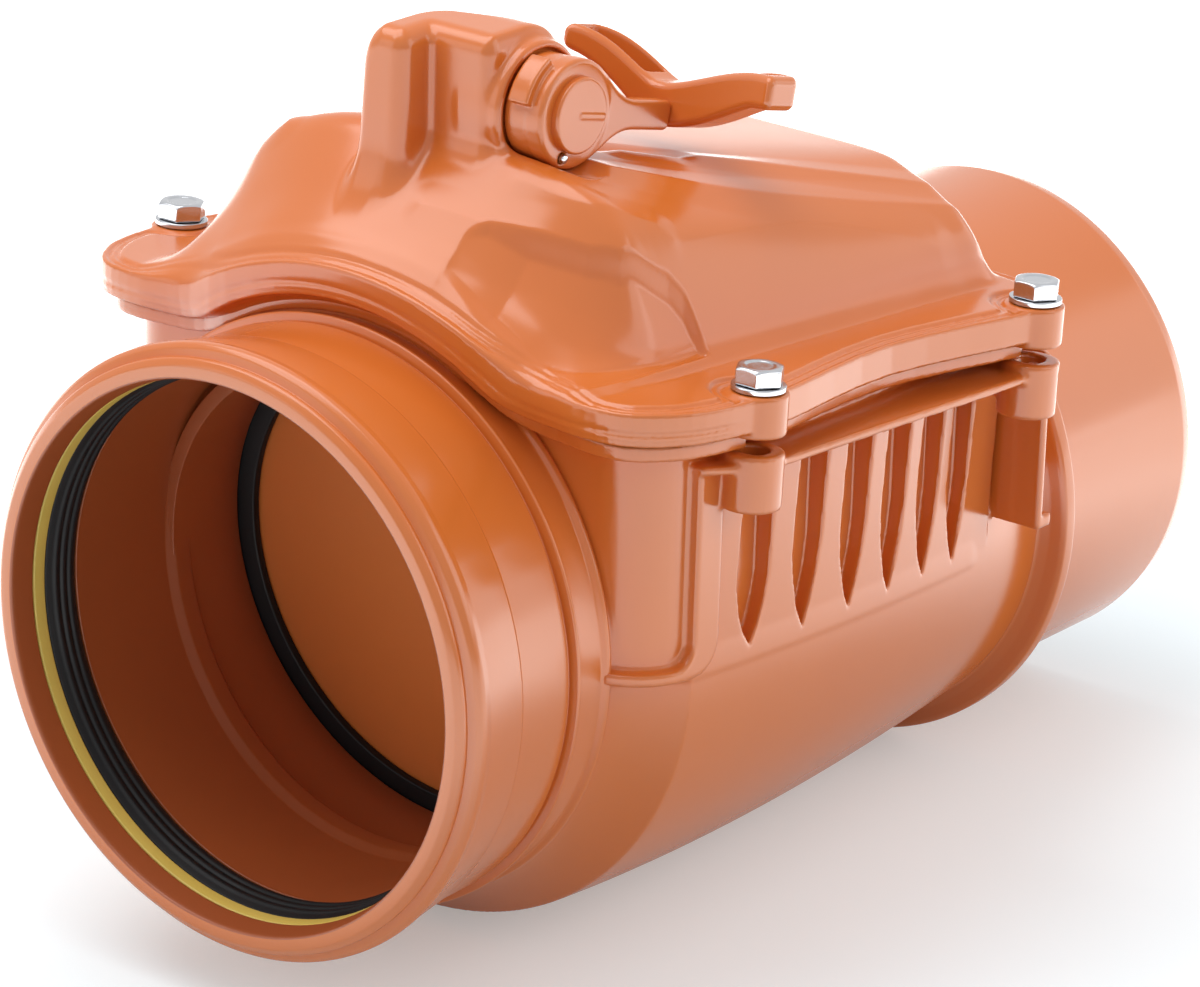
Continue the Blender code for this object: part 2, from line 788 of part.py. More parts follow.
def tower_block(inset, root, top, corner):
    """Tower and its front bay, drawn in by inset, with round upright edges and a round crown."""
    made = []
    blocks = (
        ("tower", (tower_left + inset, tower_right - inset), (tower_front + inset, tower_rear - inset)),
        ("bay", (tower_left + inset, bay_right - inset), (bay_front + inset, tower_front + 0.014)),
    )
    for name, x_range, y_range in blocks:
        edge = min(corner, (x_range[1] - x_range[0]) / 2 - 0.0005)
        rings = []
        for rise, draw in ((0, 0), (1, 0), (2, 0.12), (3, 0.40), (4, 1.0)):
            high = root if rise == 0 else top - edge * (1, 0.62, 0.28, 0.0)[rise - 1] * 0.75
            step = edge * draw * 0.55
            outline = rounded(
                (x_range[0] + step, x_range[1] - step), (y_range[0] + step, y_range[1] - step),
                max(edge - step, 0.001), 4,
            )
            rings.append([(x, y, high) for x, y in outline])
        made.append(make_object(name, loft(rings)))
    join(made[0], made[1])
    return made[0]


def make_cover(material):
    """Flange, arch, dome and tower with their insides taken out."""
    plate = extruded(flange_outline(0), -flange_thickness, 0, matrix=on_flange)
    cover = make_object("cover", plate, material)
    arch = arch_block(0, 0.080, -flange_thickness + 0.0005, arch_front, arch_rear + 0.004)
    join(cover, make_object("cover_arch", arch))
    join(cover, make_object("dome", dome(0, 0.006, nose_place, heel_place)))
    join(cover, tower_block(0, tower_root, tower_top, tower_corner))
    boss = rod(shaft_boss_radius, tower_right - 0.010, tower_right + shaft_boss_proud, (shaft_place, shaft_height), "X", round_steps)
    join(cover, make_object("shaft_boss", boss))
    relief = rod(hub_radius + hub_relief, tower_right + shaft_boss_proud, hub_face + cap_height + reach, (shaft_place, shaft_height), "X", round_steps)
    cut(cover, make_object("hub_relief", relief))
    for x, s in bolt_places():
        boss = rod(boss_radius, -cover_boss_height, 0.0004, (x, s), "Z", matrix=on_flange)
        join(cover, make_object("cover_boss", boss))
    hollow_front = box_front + 0.004
    cut(cover, make_object("dome_inside", dome(cover_wall, 0.030, hollow_front, heel_place - cover_wall)))
    cut(cover, tower_block(cover_wall, tower_root - 0.012, tower_top - cover_wall, tower_corner - cover_wall))
    under = arch_block(flange_thickness, 0.079, -0.060, arch_front - reach, hollow_front - bolt_front + 0.006)
    cut(cover, make_object("arch_inside", under))
    seat = rod(shaft_radius + 0.0035, tower_left + 0.0005, arm_centre - arm_width / 2 - gap, (shaft_place, shaft_height), "X")
    join(cover, make_object("shaft_seat", seat))
    cut(cover, shaft_bore_cutter())
    cut(cover, *bolt_cutters(-cover_boss_height - reach, reach, bolt_hole))
    return cover


def make_fasteners(steel):
    """Four bolts with their washers and nuts, square to the flange."""
    low = -body_boss_top - body_boss_height
    head_low = 0.0004 + gap + washer_thickness + gap
    for number, (x, s) in enumerate(bolt_places(), 1):
        place = on_flange @ Vector((x, s, 0))
        head = extruded(hexagon(bolt_across_flats, (x, s)), head_low, head_low + bolt_head_height, matrix=on_flange)
        bolt = make_object(f"cover_bolt_{number}", head, steel, place)
        join(bolt, make_object("bolt_shank", rod(bolt_radius, low + 0.001, head_low + 0.001, (x, s), "Z", matrix=on_flange)))
        washer = rod(washer_radius, 0.0004 + gap, 0.0004 + gap + washer_thickness, (x, s), "Z", matrix=on_flange)
        washer = make_object(f"cover_washer_{number}", washer, steel, place)
        bore = rod(bolt_radius + gap, -0.002, 0.005, (x, s), "Z", matrix=on_flange)
        cut(washer, make_object("washer_bore", bore))
        nut = extruded(hexagon(bolt_across_flats, (x, s)), low + gap, low + gap + nut_height, matrix=on_flange)
        nut = make_object(f"cover_nut_{number}", nut, steel, place)
        cut(nut, make_object("nut_bore", rod(bolt_radius + gap, low - 0.002, low + 0.010, (x, s), "Z", matrix=on_flange)))


def make_seals(rubber, yellow):
    end = groove_start + retaining_ring_length
    ring = [(retaining_ring_bore, groove_start + gap), (groove_radius - gap, groove_start + gap), (groove_radius - gap, end), (retaining_ring_bore, end)]
    make_object("seal_retaining_ring", turned(ring), yellow)
    start = end + gap
    stop = groove_start + groove_length - gap
    outer = groove_radius - gap
    seal = [(outer - 0.0016, start), (outer, start), (outer, stop), (outer - 0.0022, stop), (seal_bore, stop - 0.0016), (seal_bore + 0.0004, stop - 0.0034)]
    make_object("socket_seal", turned(seal), rubber)
    make_object("cover_gasket", gasket_path(gasket_width, gasket_height, gasket_lift), rubber)


def make_flap(plastic, rubber, steel):
    """Dished disc on its knuckles, with the ring that seals it and the horn that the lock meets."""
    origin = (0, hinge_place, hinge_height)
    near = gap + gasket_thickness + gap
    far = near + flap_thickness
    rings = []
    for r, y in ((0.8, near), (1.0, near), (1.0, far - 0.001), (0.985, far), (0.86, far)):
        rings.append([(x, y, z) for x, z in circle(flap_radius * r)])
    for r in (0.6, 0.3):
        rings.append([(x, far + flap_dish * (1 - r), z) for x, z in circle(flap_radius * r)])
    disc = loft(rings[1:], matrix=on_seat)
    flap = make_object("flap_disc", disc, plastic, origin)
    low = seat_height + flap_radius - 0.022
    for x, width in knuckle_places:
        knuckle = rod(knuckle_radius, x, x + width, (hinge_place, hinge_height), "X")
        join(flap, make_object("knuckle", knuckle))
        web = [
            (hinge_place - 0.0045, hinge_height + 0.001), (hinge_place + 0.0045, hinge_height + 0.001),
            (hinge_place + 0.0035, low + 0.006), (hinge_place + 0.002, low), (hinge_place - 0.0015, low),
            (hinge_place - 0.0048, hinge_height - 0.012),
        ]
        join(flap, make_object("knuckle_web", extruded(web, x + 0.0006, x + width - 0.0006, axis="X")))
    x, width = knuckle_places[1]
    along = Vector((0, math.sin(horn_lean), math.cos(horn_lean)))
    across = Vector((0, along.z, -along.y)) * horn_thickness / 2
    hinge = Vector(origin)
    tip = hinge + along * horn_length
    outline = [hinge - across, hinge + across, tip + across * 0.75, tip + along * 0.0015, tip - across * 0.75]
    join(flap, make_object("horn", extruded([(p.y, p.z) for p in outline], x + 0.001, x + width - 0.001, axis="X")))
    half = bracket_inner + 0.002
    bore = rod(hinge_pin_radius + gap, -half, half, (hinge_place, hinge_height), "X")
    cut(flap, make_object("knuckle_bore", bore))
    ring = [(gasket_inner, gap), (gasket_outer, gap), (gasket_outer, gap + gasket_thickness), (gasket_inner, gap + gasket_thickness)]
    make_object("flap_gasket", turned(ring, matrix=on_seat), rubber, origin)
    pin = rod(hinge_pin_radius, -hinge_pin_half, hinge_pin_half, (hinge_place, hinge_height), "X")
    make_object("flap_hinge_pin", pin, steel, origin)
    for name, side in (("left", -1), ("right", 1)):
        start = bracket_inner + bracket_width + gap
        x_range = sorted((side * start, side * (start + 0.0014)))
        clip = rod(hinge_pin_radius + 0.0030, *x_range, (hinge_place, hinge_height), "X")
        clip = make_object(f"flap_pin_clip_{name}", clip, steel, origin)
        bore = rod(hinge_pin_radius + gap, x_range[0] - 0.001, x_range[1] + 0.001, (hinge_place, hinge_height), "X")
        cut(clip, make_object("clip_bore", bore))


def make_lock(plastic, rubber, steel):
    """Shaft with its arm, seals and clip inside, and the hub, cap, lever and handle outside."""
    origin = (0, shaft_place, shaft_height)
    centre = (shaft_place, shaft_height)
    shaft = make_object("lock_shaft", rod(shaft_radius, shaft_left, shaft_face, centre, "X"), plastic, origin)
    grooves = (tower_right - 0.0030, tower_right + 0.0002)
    for place in (*grooves, tower_right - cover_wall - 0.0026):
        groove = [(shaft_radius - 0.0014, place - 0.0009), (shaft_radius + 0.002, place - 0.0009),
                  (shaft_radius + 0.002, place + 0.0009), (shaft_radius - 0.0014, place + 0.0009)]
        cut(shaft, make_object("shaft_groove", turned_on_shaft(groove)))
    for name, place in zip(("inner", "outer"), grooves):
        ring = [(shaft_radius - 0.0011, place - 0.0006), (shaft_radius - 0.0001, place - 0.0006),
                (shaft_radius - 0.0001, place + 0.0006), (shaft_radius - 0.0011, place + 0.0006)]
        make_object(f"shaft_o_ring_{name}", turned_on_shaft(ring), rubber, origin)
    place = tower_right - cover_wall - 0.0026
    clip = [(shaft_radius - 0.0011, place - 0.0006), (shaft_radius + 0.0035, place - 0.0006),
            (shaft_radius + 0.0035, place + 0.0006), (shaft_radius - 0.0011, place + 0.0006)]
    make_object("shaft_clip", turned_on_shaft(clip), steel, origin)
    make_lock_arm(plastic, steel, shaft, origin, centre)
    make_lever(plastic, steel, origin, centre)


def turned_on_shaft(profile):
    """A ring about the shaft from a closed profile of (radius, place along X)."""
    rings = []
    for r, x in profile:
        rings.append([(x, shaft_place + a, shaft_height + b) for a, b in circle(r, steps=small_steps)])
    return loft(rings, closed=True)


def make_lock_arm(plastic, steel, shaft, origin, centre):
    low = arm_centre - arm_width / 2
    high = arm_centre + arm_width / 2
    arm = make_object("lock_arm", rod(arm_hub_radius, low, high, centre, "X"), plastic, origin)
    along = Vector((0, -math.sin(arm_rest), -math.cos(arm_rest)))
    across = Vector((0, along.z, -along.y)) * arm_thickness / 2
    root = Vector(origin)
    tip = root + along * arm_length
    outline = [root - across, root + across, tip + across - along * 0.004, tip + across * 0.4, tip - across * 0.4, tip - across - along * 0.004]
    join(arm, make_object("arm_bar", extruded([(p.y, p.z) for p in outline], low, high, axis="X")))
    cut(arm, make_object("arm_bore", rod(shaft_radius + gap, low - 0.002, high + 0.002, centre, "X")))
    for name, radius, half in (("lock_arm_pin", 0.0015, arm_hub_radius - 0.001), ("pin_bore", 0.0015 + gap, arm_hub_radius + 0.003)):
        ends = [root + Vector((arm_centre, 0, 0)) + along * k for k in (-half, half)]
        pin = bar_between(ends, radius)
        made = make_object(name, pin, steel, origin)
        if name == "pin_bore":
            cut(arm, made)
            cut(shaft, made)


def bar_between(ends, radius, steps=12):
    """A round bar between two points."""
    along = (ends[1] - ends[0]).normalized()
    across = along.orthogonal().normalized()
    beside = along.cross(across)
    rings = []
    for end in ends:
        rings.append([end + (across * a + beside * b) for a, b in circle(radius, steps=steps)])
    return loft(rings)


def make_lever(plastic, steel, origin, centre):
    hub_rings = []
    for r, x in ((hub_radius, hub_start), (hub_radius, hub_face - 0.0012), (hub_radius - 0.0012, hub_face)):
        hub_rings.append([(x, shaft_place + a, shaft_height + b) for a, b in circle(r, steps=36)])
    lever = make_object("lock_lever", loft(hub_rings), plastic, origin)
    stop = [(r * math.cos(a), r * math.sin(a)) for r, a in sector(hub_radius - 0.002, hub_radius + 0.0034, 112, 162)]
    stop = [(shaft_place + a, shaft_height + b) for a, b in stop]
    join(lever, make_object("stop_lug", extruded(stop, hub_start + 0.0016, hub_start + 0.0066, axis="X")))
    along = Vector((0, math.cos(lever_drop), -math.sin(lever_drop)))
    up = Vector((0, math.sin(lever_drop), math.cos(lever_drop)))
    root = Vector(origin)
    rings = []
    for share, height in ((0.10, 1.62), (0.30, 1.30), (0.42, 1.00), (0.60, 0.76), (1.0, 0.60)):
        place = root + along * lever_length * share
        half = lever_root_height * height / 2
        if share == 1.0:
            half = lever_end_height / 2
        x_range = (hub_face - lever_thickness, hub_face - 0.0004)
        corners = ((x_range[0], -half), (x_range[1], -half), (x_range[1], half), (x_range[0], half))
        rings.append([place + up * b + Vector((a, 0, 0)) for a, b in corners])
    join(lever, make_object("lever_bar", loft(rings)))
    cut(lever, make_object("hub_bore", rod(shaft_radius + gap, hub_start - 0.002, shaft_face + gap, centre, "X")))
    cap = [[(x, shaft_place + a, shaft_height + b) for a, b in circle(r, steps=36)] for r, x in (
        (cap_radius, hub_face + gap), (cap_radius, hub_face + cap_height - 0.0008), (cap_radius - 0.0010, hub_face + cap_height),
    )]
    cap = make_object("hub_cap", loft(cap), plastic, origin)
    ridge = [(shaft_place + a, shaft_height + b) for a, b in ((-0.0092, -0.0009), (0.0092, -0.0009), (0.0092, 0.0009), (-0.0092, 0.0009))]
    join(cap, make_object("cap_ridge", extruded(ridge, hub_face + cap_height - 0.0005, hub_face + cap_height + 0.0007, axis="X")))
    pin_at = (shaft_place - 0.0060, shaft_height - 0.0118)
    pin = rod(lever_pin_radius, hub_face - 0.0050, hub_face + 0.0012, pin_at, "X", steps=16)
    make_object("lever_pin", pin, steel, origin)
    cut(lever, make_object("lever_pin_bore", rod(lever_pin_radius + gap, hub_face - 0.0053, hub_face + 0.004, pin_at, "X", steps=16)))
    make_handle(plastic, lever, origin, along, up)


def sector(inner, outer, start, end, steps=6):
    """Outline of a ring's sector as (radius, angle), angles counted from +Y to +Z."""
    turns = [math.radians(a) for a in spread(start, end, steps)]
    return [(inner, a) for a in turns] + [(outer, a) for a in reversed(turns)]


def make_handle(plastic, lever, origin, along, up):
    """Butterfly handle on the lever's end: two hollow wings that rise from the middle."""
    root = Vector(origin)
    middle = root + along * (lever_length + gap + handle_chord / 2) + up * handle_lift
    rings = []
    hollows = {-1: [], 1: []}
    for share in (-1, -0.94, -0.7, -0.45, -0.22, 0, 0.22, 0.45, 0.7, 0.94, 1):
        out = abs(share)
        rise = handle_rise * out**1.3
        chord = handle_chord * (1 - 0.12 * out**2) * (0.90 if out == 1 else 1)
        half = handle_depth / 2 * (1 - 0.18 * out)
        x = handle_centre + share * handle_span / 2
        centre = middle + Vector((x, 0, 0)) + up * rise
        corners = ((-0.84, -1), (0.70, -1), (1, -0.5), (1, 1), (-1, 1), (-1, -0.7))
        rings.append([centre + along * a * chord / 2 + up * b * half for a, b in corners])
        if 0.2 < out < 0.97:
            inner = chord / 2 - handle_rim
            corners = ((-1, handle_rim - half), (1, handle_rim - half), (1, half + 0.004), (-1, half + 0.004))
            hollows[1 if share > 0 else -1].append([centre + along * a * inner + up * b for a, b in corners])
    handle = make_object("lock_handle", loft(rings), plastic, origin)
    for rings in hollows.values():
        cut(handle, make_object("wing_hollow", loft(rings)))
    for name, spare, target, operation in (("tenon", 0, lever, "UNION"), ("mortise", gap, handle, "DIFFERENCE")):
        x_range = (hub_face - lever_thickness + 0.001 - spare, hub_face - 0.0014 + spare)
        size = tenon_height / 2 + spare
        ends = ((lever_length - 0.003, -size), (lever_length + tenon_length + spare, -size),
                (lever_length + tenon_length + spare, size), (lever_length - 0.003, size))
        points = [root + along * a + up * b for a, b in ends]
        combine(target, make_object(name, extruded([(q.y, q.z) for q in points], *x_range, axis="X")), operation)


def main():
    start_scene()
    orange = make_material("orange_pvc", (0.72, 0.21, 0.06), 0.30)
    dark_orange = make_material("orange_pvc_inside", (0.62, 0.17, 0.05), 0.35)
    rubber = make_material("black_rubber", (0.018, 0.018, 0.020), 0.60)
    yellow = make_material("yellow_ring", (0.70, 0.47, 0.07), 0.40)
    steel = make_material("zinc_steel", (0.66, 0.66, 0.68), 0.25, 1.0)
    make_body(orange)
    make_cover(orange)
    make_fasteners(steel)
    make_seals(rubber, yellow)
    make_flap(dark_orange, rubber, steel)
    make_lock(orange, rubber, steel)


main()
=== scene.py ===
import json
import math

import bpy
import numpy as np
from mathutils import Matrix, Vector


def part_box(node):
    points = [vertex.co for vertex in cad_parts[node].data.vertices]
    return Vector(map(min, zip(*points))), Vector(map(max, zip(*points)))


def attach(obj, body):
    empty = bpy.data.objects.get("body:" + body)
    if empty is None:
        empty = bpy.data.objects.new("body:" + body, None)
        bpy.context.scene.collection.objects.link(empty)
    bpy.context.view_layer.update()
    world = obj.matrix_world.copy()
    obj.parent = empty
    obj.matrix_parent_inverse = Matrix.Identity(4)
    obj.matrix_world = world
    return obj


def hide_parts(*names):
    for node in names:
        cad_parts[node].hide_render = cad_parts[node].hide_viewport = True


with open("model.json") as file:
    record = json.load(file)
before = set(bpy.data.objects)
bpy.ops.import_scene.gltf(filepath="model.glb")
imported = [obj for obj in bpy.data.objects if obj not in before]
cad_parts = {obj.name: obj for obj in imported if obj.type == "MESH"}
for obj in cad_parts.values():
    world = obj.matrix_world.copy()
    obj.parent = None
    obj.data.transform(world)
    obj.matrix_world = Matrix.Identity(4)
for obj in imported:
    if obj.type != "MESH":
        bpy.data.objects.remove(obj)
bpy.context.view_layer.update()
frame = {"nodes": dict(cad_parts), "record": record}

import openvdb
from mathutils import Matrix, Vector

# The valve's own frame: millimetres from the centre of the socket's lip, Y along the pipe, Z up.
sealLow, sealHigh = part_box("socket_seal")
bodyLow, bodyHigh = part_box("valve_body")
lipCentre = np.array((0, bodyLow.y, (sealLow.z + sealHigh.z) / 2))
valveLength = (bodyHigh.y - bodyLow.y) * 1000


def toPart(points):
    return np.asarray(points, float) / 1000 + lipCentre


def dress(made, material, body, nodes):
    # Each piece gets its material, the body it moves with and the nodes it replaces.
    made.data.materials.append(material)
    bpy.context.scene.collection.objects.link(made)
    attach(made, body)
    if nodes:
        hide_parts(*nodes)
    return made


def meshObject(name, points, faces, material, body, nodes, smooth):
    mesh = bpy.data.meshes.new(name)
    mesh.from_pydata(toPart(points).tolist(), [], [list(face) for face in faces])
    mesh.validate()
    mesh.update()
    mesh.shade_smooth()
    mesh.set_sharp_from_angle(angle=math.radians(smooth))
    return dress(bpy.data.objects.new(name, mesh), material, body, nodes)


def rounding(line, radius, steps=3):
    # Each corner of a closed profile becomes a short arc, as a mould's edges are.
    out = []
    for i, corner in enumerate(line):
        here = np.array(corner, float)
        before = np.array(line[i - 1], float) - here
        after = np.array(line[(i + 1) % len(line)], float) - here
        room = min(np.linalg.norm(before), np.linalg.norm(after)) * 0.45
        cut = min(radius, room)
        start = here + before / max(np.linalg.norm(before), 1e-9) * cut
        end = here + after / max(np.linalg.norm(after), 1e-9) * cut
        for k in range(steps + 1):
            t = k / steps
            out.append(tuple((1 - t) ** 2 * start + 2 * t * (1 - t) * here + t**2 * end))
    return out


def bandFaces(rows, steps):
    # Quads between rings of points, with the last ring joined to the first.
    faces = []
    for i in range(rows):
        a, b = i * steps, (i + 1) % rows * steps
        for j in range(steps):
            k = (j + 1) % steps
            faces.append((a + j, a + k, b + k, b + j))
    return faces


def turned(name, profile, edge, material, body="valve", nodes=(),
           place=None, steps=224, smooth=50):
    # A closed profile of (radius, along) turned about Y, or about the Y axis of place.
    profile = rounding(profile, edge)
    turns = np.linspace(0, 2 * math.pi, steps, endpoint=False)
    points = []
    for r, y in profile:
        points += [(r * math.sin(a), y, r * math.cos(a)) for a in turns]
    points = np.array(points)
    if place is not None:
        points = points @ np.array(place.to_3x3()).T + np.array(place.translation)
    faces = bandFaces(len(profile), steps)
    return meshObject(name, points, faces, material, body, nodes, smooth)


# Solids are fields of distance in millimetres, negative inside, which gives them moulded fillets.

def makeGrid(low, high, step):
    axes = [np.arange(a, b + step, step, dtype=np.float32) for a, b in zip(low, high)]
    x, y, z = np.meshgrid(*axes, indexing="ij", sparse=True)
    return {"x": x, "y": y, "z": z, "low": low, "step": step}


def blendIn(a, b, fillet):
    # Union with a concave fillet.
    h = np.maximum(fillet - np.abs(a - b), 0) / fillet
    return np.minimum(a, b) - h * h * fillet / 4


def carve(a, tool, edge):
    # Cut with a soft edge.
    return -blendIn(-a, tool, edge)


def both(edge, *fields):
    # Intersection of fields with rounded convex edges.
    result = fields[0]
    for other in fields[1:]:
        p, q = result + edge, other + edge
        outside = np.hypot(np.maximum(p, 0), np.maximum(q, 0))
        result = outside + np.minimum(np.maximum(p, q), 0) - edge
    return result


def between(value, low, high):
    return np.abs(value - (low + high) / 2) - (high - low) / 2


def outlineField(px, py, corners):
    # Distance to a polygon.
    corners = np.array(corners, np.float32)
    best = np.full(np.broadcast_shapes(px.shape, py.shape), 1e9, np.float32)
    inside = np.zeros(best.shape, bool)
    for (ax, ay), (bx, by) in zip(corners, np.roll(corners, -1, axis=0)):
        ex, ey = bx - ax, by - ay
        t = np.clip(((px - ax) * ex + (py - ay) * ey) / (ex * ex + ey * ey + 1e-9), 0, 1)
        best = np.minimum(best, (px - ax - t * ex) ** 2 + (py - ay - t * ey) ** 2)
        crosses = (ay > py) != (by > py)
        with np.errstate(divide="ignore", invalid="ignore"):
            atX = (bx - ax) * (py - ay) / (by - ay if by != ay else 1e-9) + ax
        inside ^= crosses & (px < atX)
    return np.where(inside, -1, 1) * np.sqrt(best)


def mirrorField(g, field):
    # A half drawn for X from 0 up, with its mirror image.
    g = dict(g)
    count = field.shape[0]
    g["low"] = (-(count - 1) * g["step"], g["low"][1], g["low"][2])
    return g, np.concatenate((field[:0:-1], field), axis=0)


def solidObject(name, g, field, material, body, nodes, relax=2):
    # The field's zero surface in quads. Relaxing it takes out the steps of the grid.
    band = 3 * g["step"]
    values = np.ascontiguousarray(np.clip(field, -band, band), dtype=np.float32)
    grid = openvdb.FloatGrid(band)
    grid.copyFromArray(values, tolerance=1e-4)
    points, quads = grid.convertToQuads(isovalue=0.0)
    points = np.asarray(points, np.float64) * g["step"] + np.array(g["low"])
    quads = np.asarray(quads, np.int32)
    mesh = bpy.data.meshes.new(name)
    mesh.vertices.add(len(points))
    mesh.vertices.foreach_set("co", toPart(points).ravel())
    mesh.loops.add(quads.size)
    mesh.loops.foreach_set("vertex_index", quads.ravel())
    mesh.polygons.add(len(quads))
    mesh.polygons.foreach_set("loop_start", np.arange(0, quads.size, 4))
    mesh.polygons.foreach_set("loop_total", np.full(len(quads), 4))
    mesh.update()
    mesh.validate()
    mesh.shade_smooth()
    made = dress(bpy.data.objects.new(name, mesh), material, body, nodes)
    smooth = made.modifiers.new("relax", "SMOOTH")
    smooth.factor = 0.5
    smooth.iterations = relax
    print(name, len(quads), "faces")
    return made


def linear(hexColour):
    parts = [int(hexColour[i:i + 2], 16) / 255 for i in (1, 3, 5)]
    return (*[c / 12.92 if c <= 0.04045 else ((c + 0.055) / 1.055) ** 2.4 for c in parts], 1)


def addNode(tree, kind, links=(), **settings):
    # links: (input name, from socket). A setting that names an input sets it, others the node.
    node = tree.nodes.new(kind)
    for key, value in settings.items():
        if key in node.inputs.keys():
            node.inputs[key].default_value = value
        else:
            setattr(node, key, value)
    for name, source in links:
        tree.links.new(source, node.inputs[name])
    return node


def mouldedMaterial(name, look):
    # Slow colour clouds, a faint flow ripple and uneven gloss. Sizes are in millimetres.
    material = bpy.data.materials.new(name)
    material.use_nodes = True
    tree = material.node_tree
    shader = tree.nodes["Principled BSDF"]
    shader.inputs["Base Color"].default_value = linear(look["base"])
    for key, value in look["shader"].items():
        shader.inputs[key].default_value = value
    place = addNode(tree, "ShaderNodeTexCoord")
    clouds = addNode(tree, "ShaderNodeTexNoise", [("Vector", place.outputs["Object"])],
                     Scale=1000 / look["cloudSize"], Detail=3.0, Roughness=0.5)
    mix = addNode(tree, "ShaderNodeMix", [("Factor", clouds.outputs["Fac"])], data_type="RGBA")
    mix.inputs[6].default_value = linear(look["base"])
    mix.inputs[7].default_value = linear(look["tint"])
    tree.links.new(mix.outputs[2], shader.inputs["Base Color"])
    low, high = look["rough"]
    gloss = addNode(tree, "ShaderNodeMapRange", [("Value", clouds.outputs["Fac"])],
                    **{"From Min": 0.3, "From Max": 0.7, "To Min": low, "To Max": high})
    tree.links.new(gloss.outputs["Result"], shader.inputs["Roughness"])
    flow = addNode(tree, "ShaderNodeTexNoise", [("Vector", place.outputs["Object"])],
                   Scale=1000 / look["rippleSize"], Detail=2.0, Roughness=0.5)
    bump = addNode(tree, "ShaderNodeBump", [("Height", flow.outputs["Fac"])],
                   Strength=1.0, Distance=look["ripple"] / 1000)
    tree.links.new(bump.outputs["Normal"], shader.inputs["Normal"])
    return material


# Unplasticised PVC, injection moulded in a polished mould: glossy orange-brown, barely rippled.
orangePvc = mouldedMaterial("mouldedOrangePvc", {
    "base": "#CE6A28", "tint": "#D07030", "cloudSize": 60, "ripple": 0.05, "rippleSize": 22,
    "rough": (0.17, 0.24), "shader": {"IOR": 1.54, "Specular IOR Level": 0.55},
})

# The same PVC inside the pipe, matt where the core of the mould was. Its darker, browner colour is
# painted shade for the light that doesn't reach into the bore.
boreShadePvc = mouldedMaterial("mouldedPvcBoreShaded", {
    "base": "#A9572C", "tint": "#9C4D26", "cloudSize": 50, "ripple": 0.03, "rippleSize": 12,
    "rough": (0.32, 0.42), "shader": {"IOR": 1.53},
})

# The flap's PVC, as matt as the bore. Lighter than the real one, to make up for the seat's shade.
flapPvc = mouldedMaterial("mouldedPvcFlap", {
    "base": "#EC8440", "tint": "#E27B39", "cloudSize": 50, "ripple": 0.03, "rippleSize": 12,
    "rough": (0.32, 0.42), "shader": {"IOR": 1.53},
})

# EPDM seals, pressed in a mould: black and matt, with a faint sheen.
rubber = mouldedMaterial("pressedEpdmRubber", {
    "base": "#0C0D0F", "tint": "#121315", "cloudSize": 15, "ripple": 0.02, "rippleSize": 2.5,
    "rough": (0.50, 0.62), "shader": {"IOR": 1.5, "Specular IOR Level": 0.3},
})

# Polypropylene retaining ring, moulded: waxy yellow.
yellowPlastic = mouldedMaterial("mouldedYellowPolypropylene", {
    "base": "#DFC257", "tint": "#E5CB6A", "cloudSize": 30, "ripple": 0.02, "rippleSize": 6,
    "rough": (0.34, 0.44), "shader": {"IOR": 1.49},
})

# Zinc-plated steel, cold headed: bright. The die's marks are finer, but wouldn't show.
zincSteel = mouldedMaterial("platedZincSteel", {
    "base": "#B4B6BB", "tint": "#C4C6CA", "cloudSize": 4, "ripple": 0.015, "rippleSize": 1.2,
    "rough": (0.12, 0.24), "shader": {"Metallic": 1.0},
})
print("materials")

# Shapes that body and cover share, in millimetres.
pipe = {
    "socket": 88.0, "spigot": 80.0, "wall": 4.0, "outletDrop": 20.0, "dropStart": 60.0,
    "dropLength": 230.0,
}
belly = {
    "shoulder": 64.5, "front": 88.0, "end": 293.0, "frontRadius": 101.0, "rearRadius": 80.5,
    "shoulderPower": 1.6, "power": 1.75,
}
flange = {
    "slope": math.radians(3.3), "y": 102.9, "z": 81.1, "across": 109.5, "pitch": 137.6,
    "pastBolts": 4.5, "front": -53.0, "pastRear": 21.0, "thickness": 10.0, "shadowGap": 0.8,
    "archRadius": 105.0, "archFillet": 25.0, "archEnd": 78.0, "archFade": 20.0, "boltHole": 4.5,
}
boltSpots = [(side * flange["across"], s) for s in (0.0, flange["pitch"]) for side in (-1, 1)]


def centreZ(y):
    return -pipe["outletDrop"] * np.clip((y - pipe["dropStart"]) / pipe["dropLength"], 0, 1)


def bellyRadius(y):
    b = belly
    shoulder = np.clip((y - b["shoulder"]) / (b["front"] - b["shoulder"]), 0, 1)
    front = pipe["socket"] + (b["frontRadius"] - pipe["socket"]) * shoulder ** b["shoulderPower"]
    share = np.clip((y - b["front"]) / (b["end"] - b["front"]), 0, 1)
    rear = b["frontRadius"] - (b["frontRadius"] - b["rearRadius"]) * share ** b["power"]
    return np.where(y < b["front"], front, rear)


def flangeZ(y):
    return flange["z"] - math.tan(flange["slope"]) * (y - flange["y"])


def flangeTop(x, y, drop=0.0):
    # Flange plane with the arch over the socket, lowered by drop.
    radius = flange["archRadius"] - drop
    fillet = flange["archFillet"] + drop
    level = flangeZ(y) - drop
    turn = np.sqrt((radius + fillet) ** 2 - (level + fillet) ** 2)
    touch = turn * radius / (radius + fillet)
    ax = np.abs(x)
    arch = np.sqrt(np.maximum(radius**2 - ax**2, 0))
    dip = np.sqrt(np.maximum(fillet**2 - np.maximum(turn - ax, 0) ** 2, 0))
    foot = level + fillet - dip
    bent = np.where(ax < touch, arch, np.where(ax < turn, foot, level))
    fade = np.clip((y - flange["archEnd"]) / flange["archFade"], 0, 1)
    return bent + (level - bent) * fade


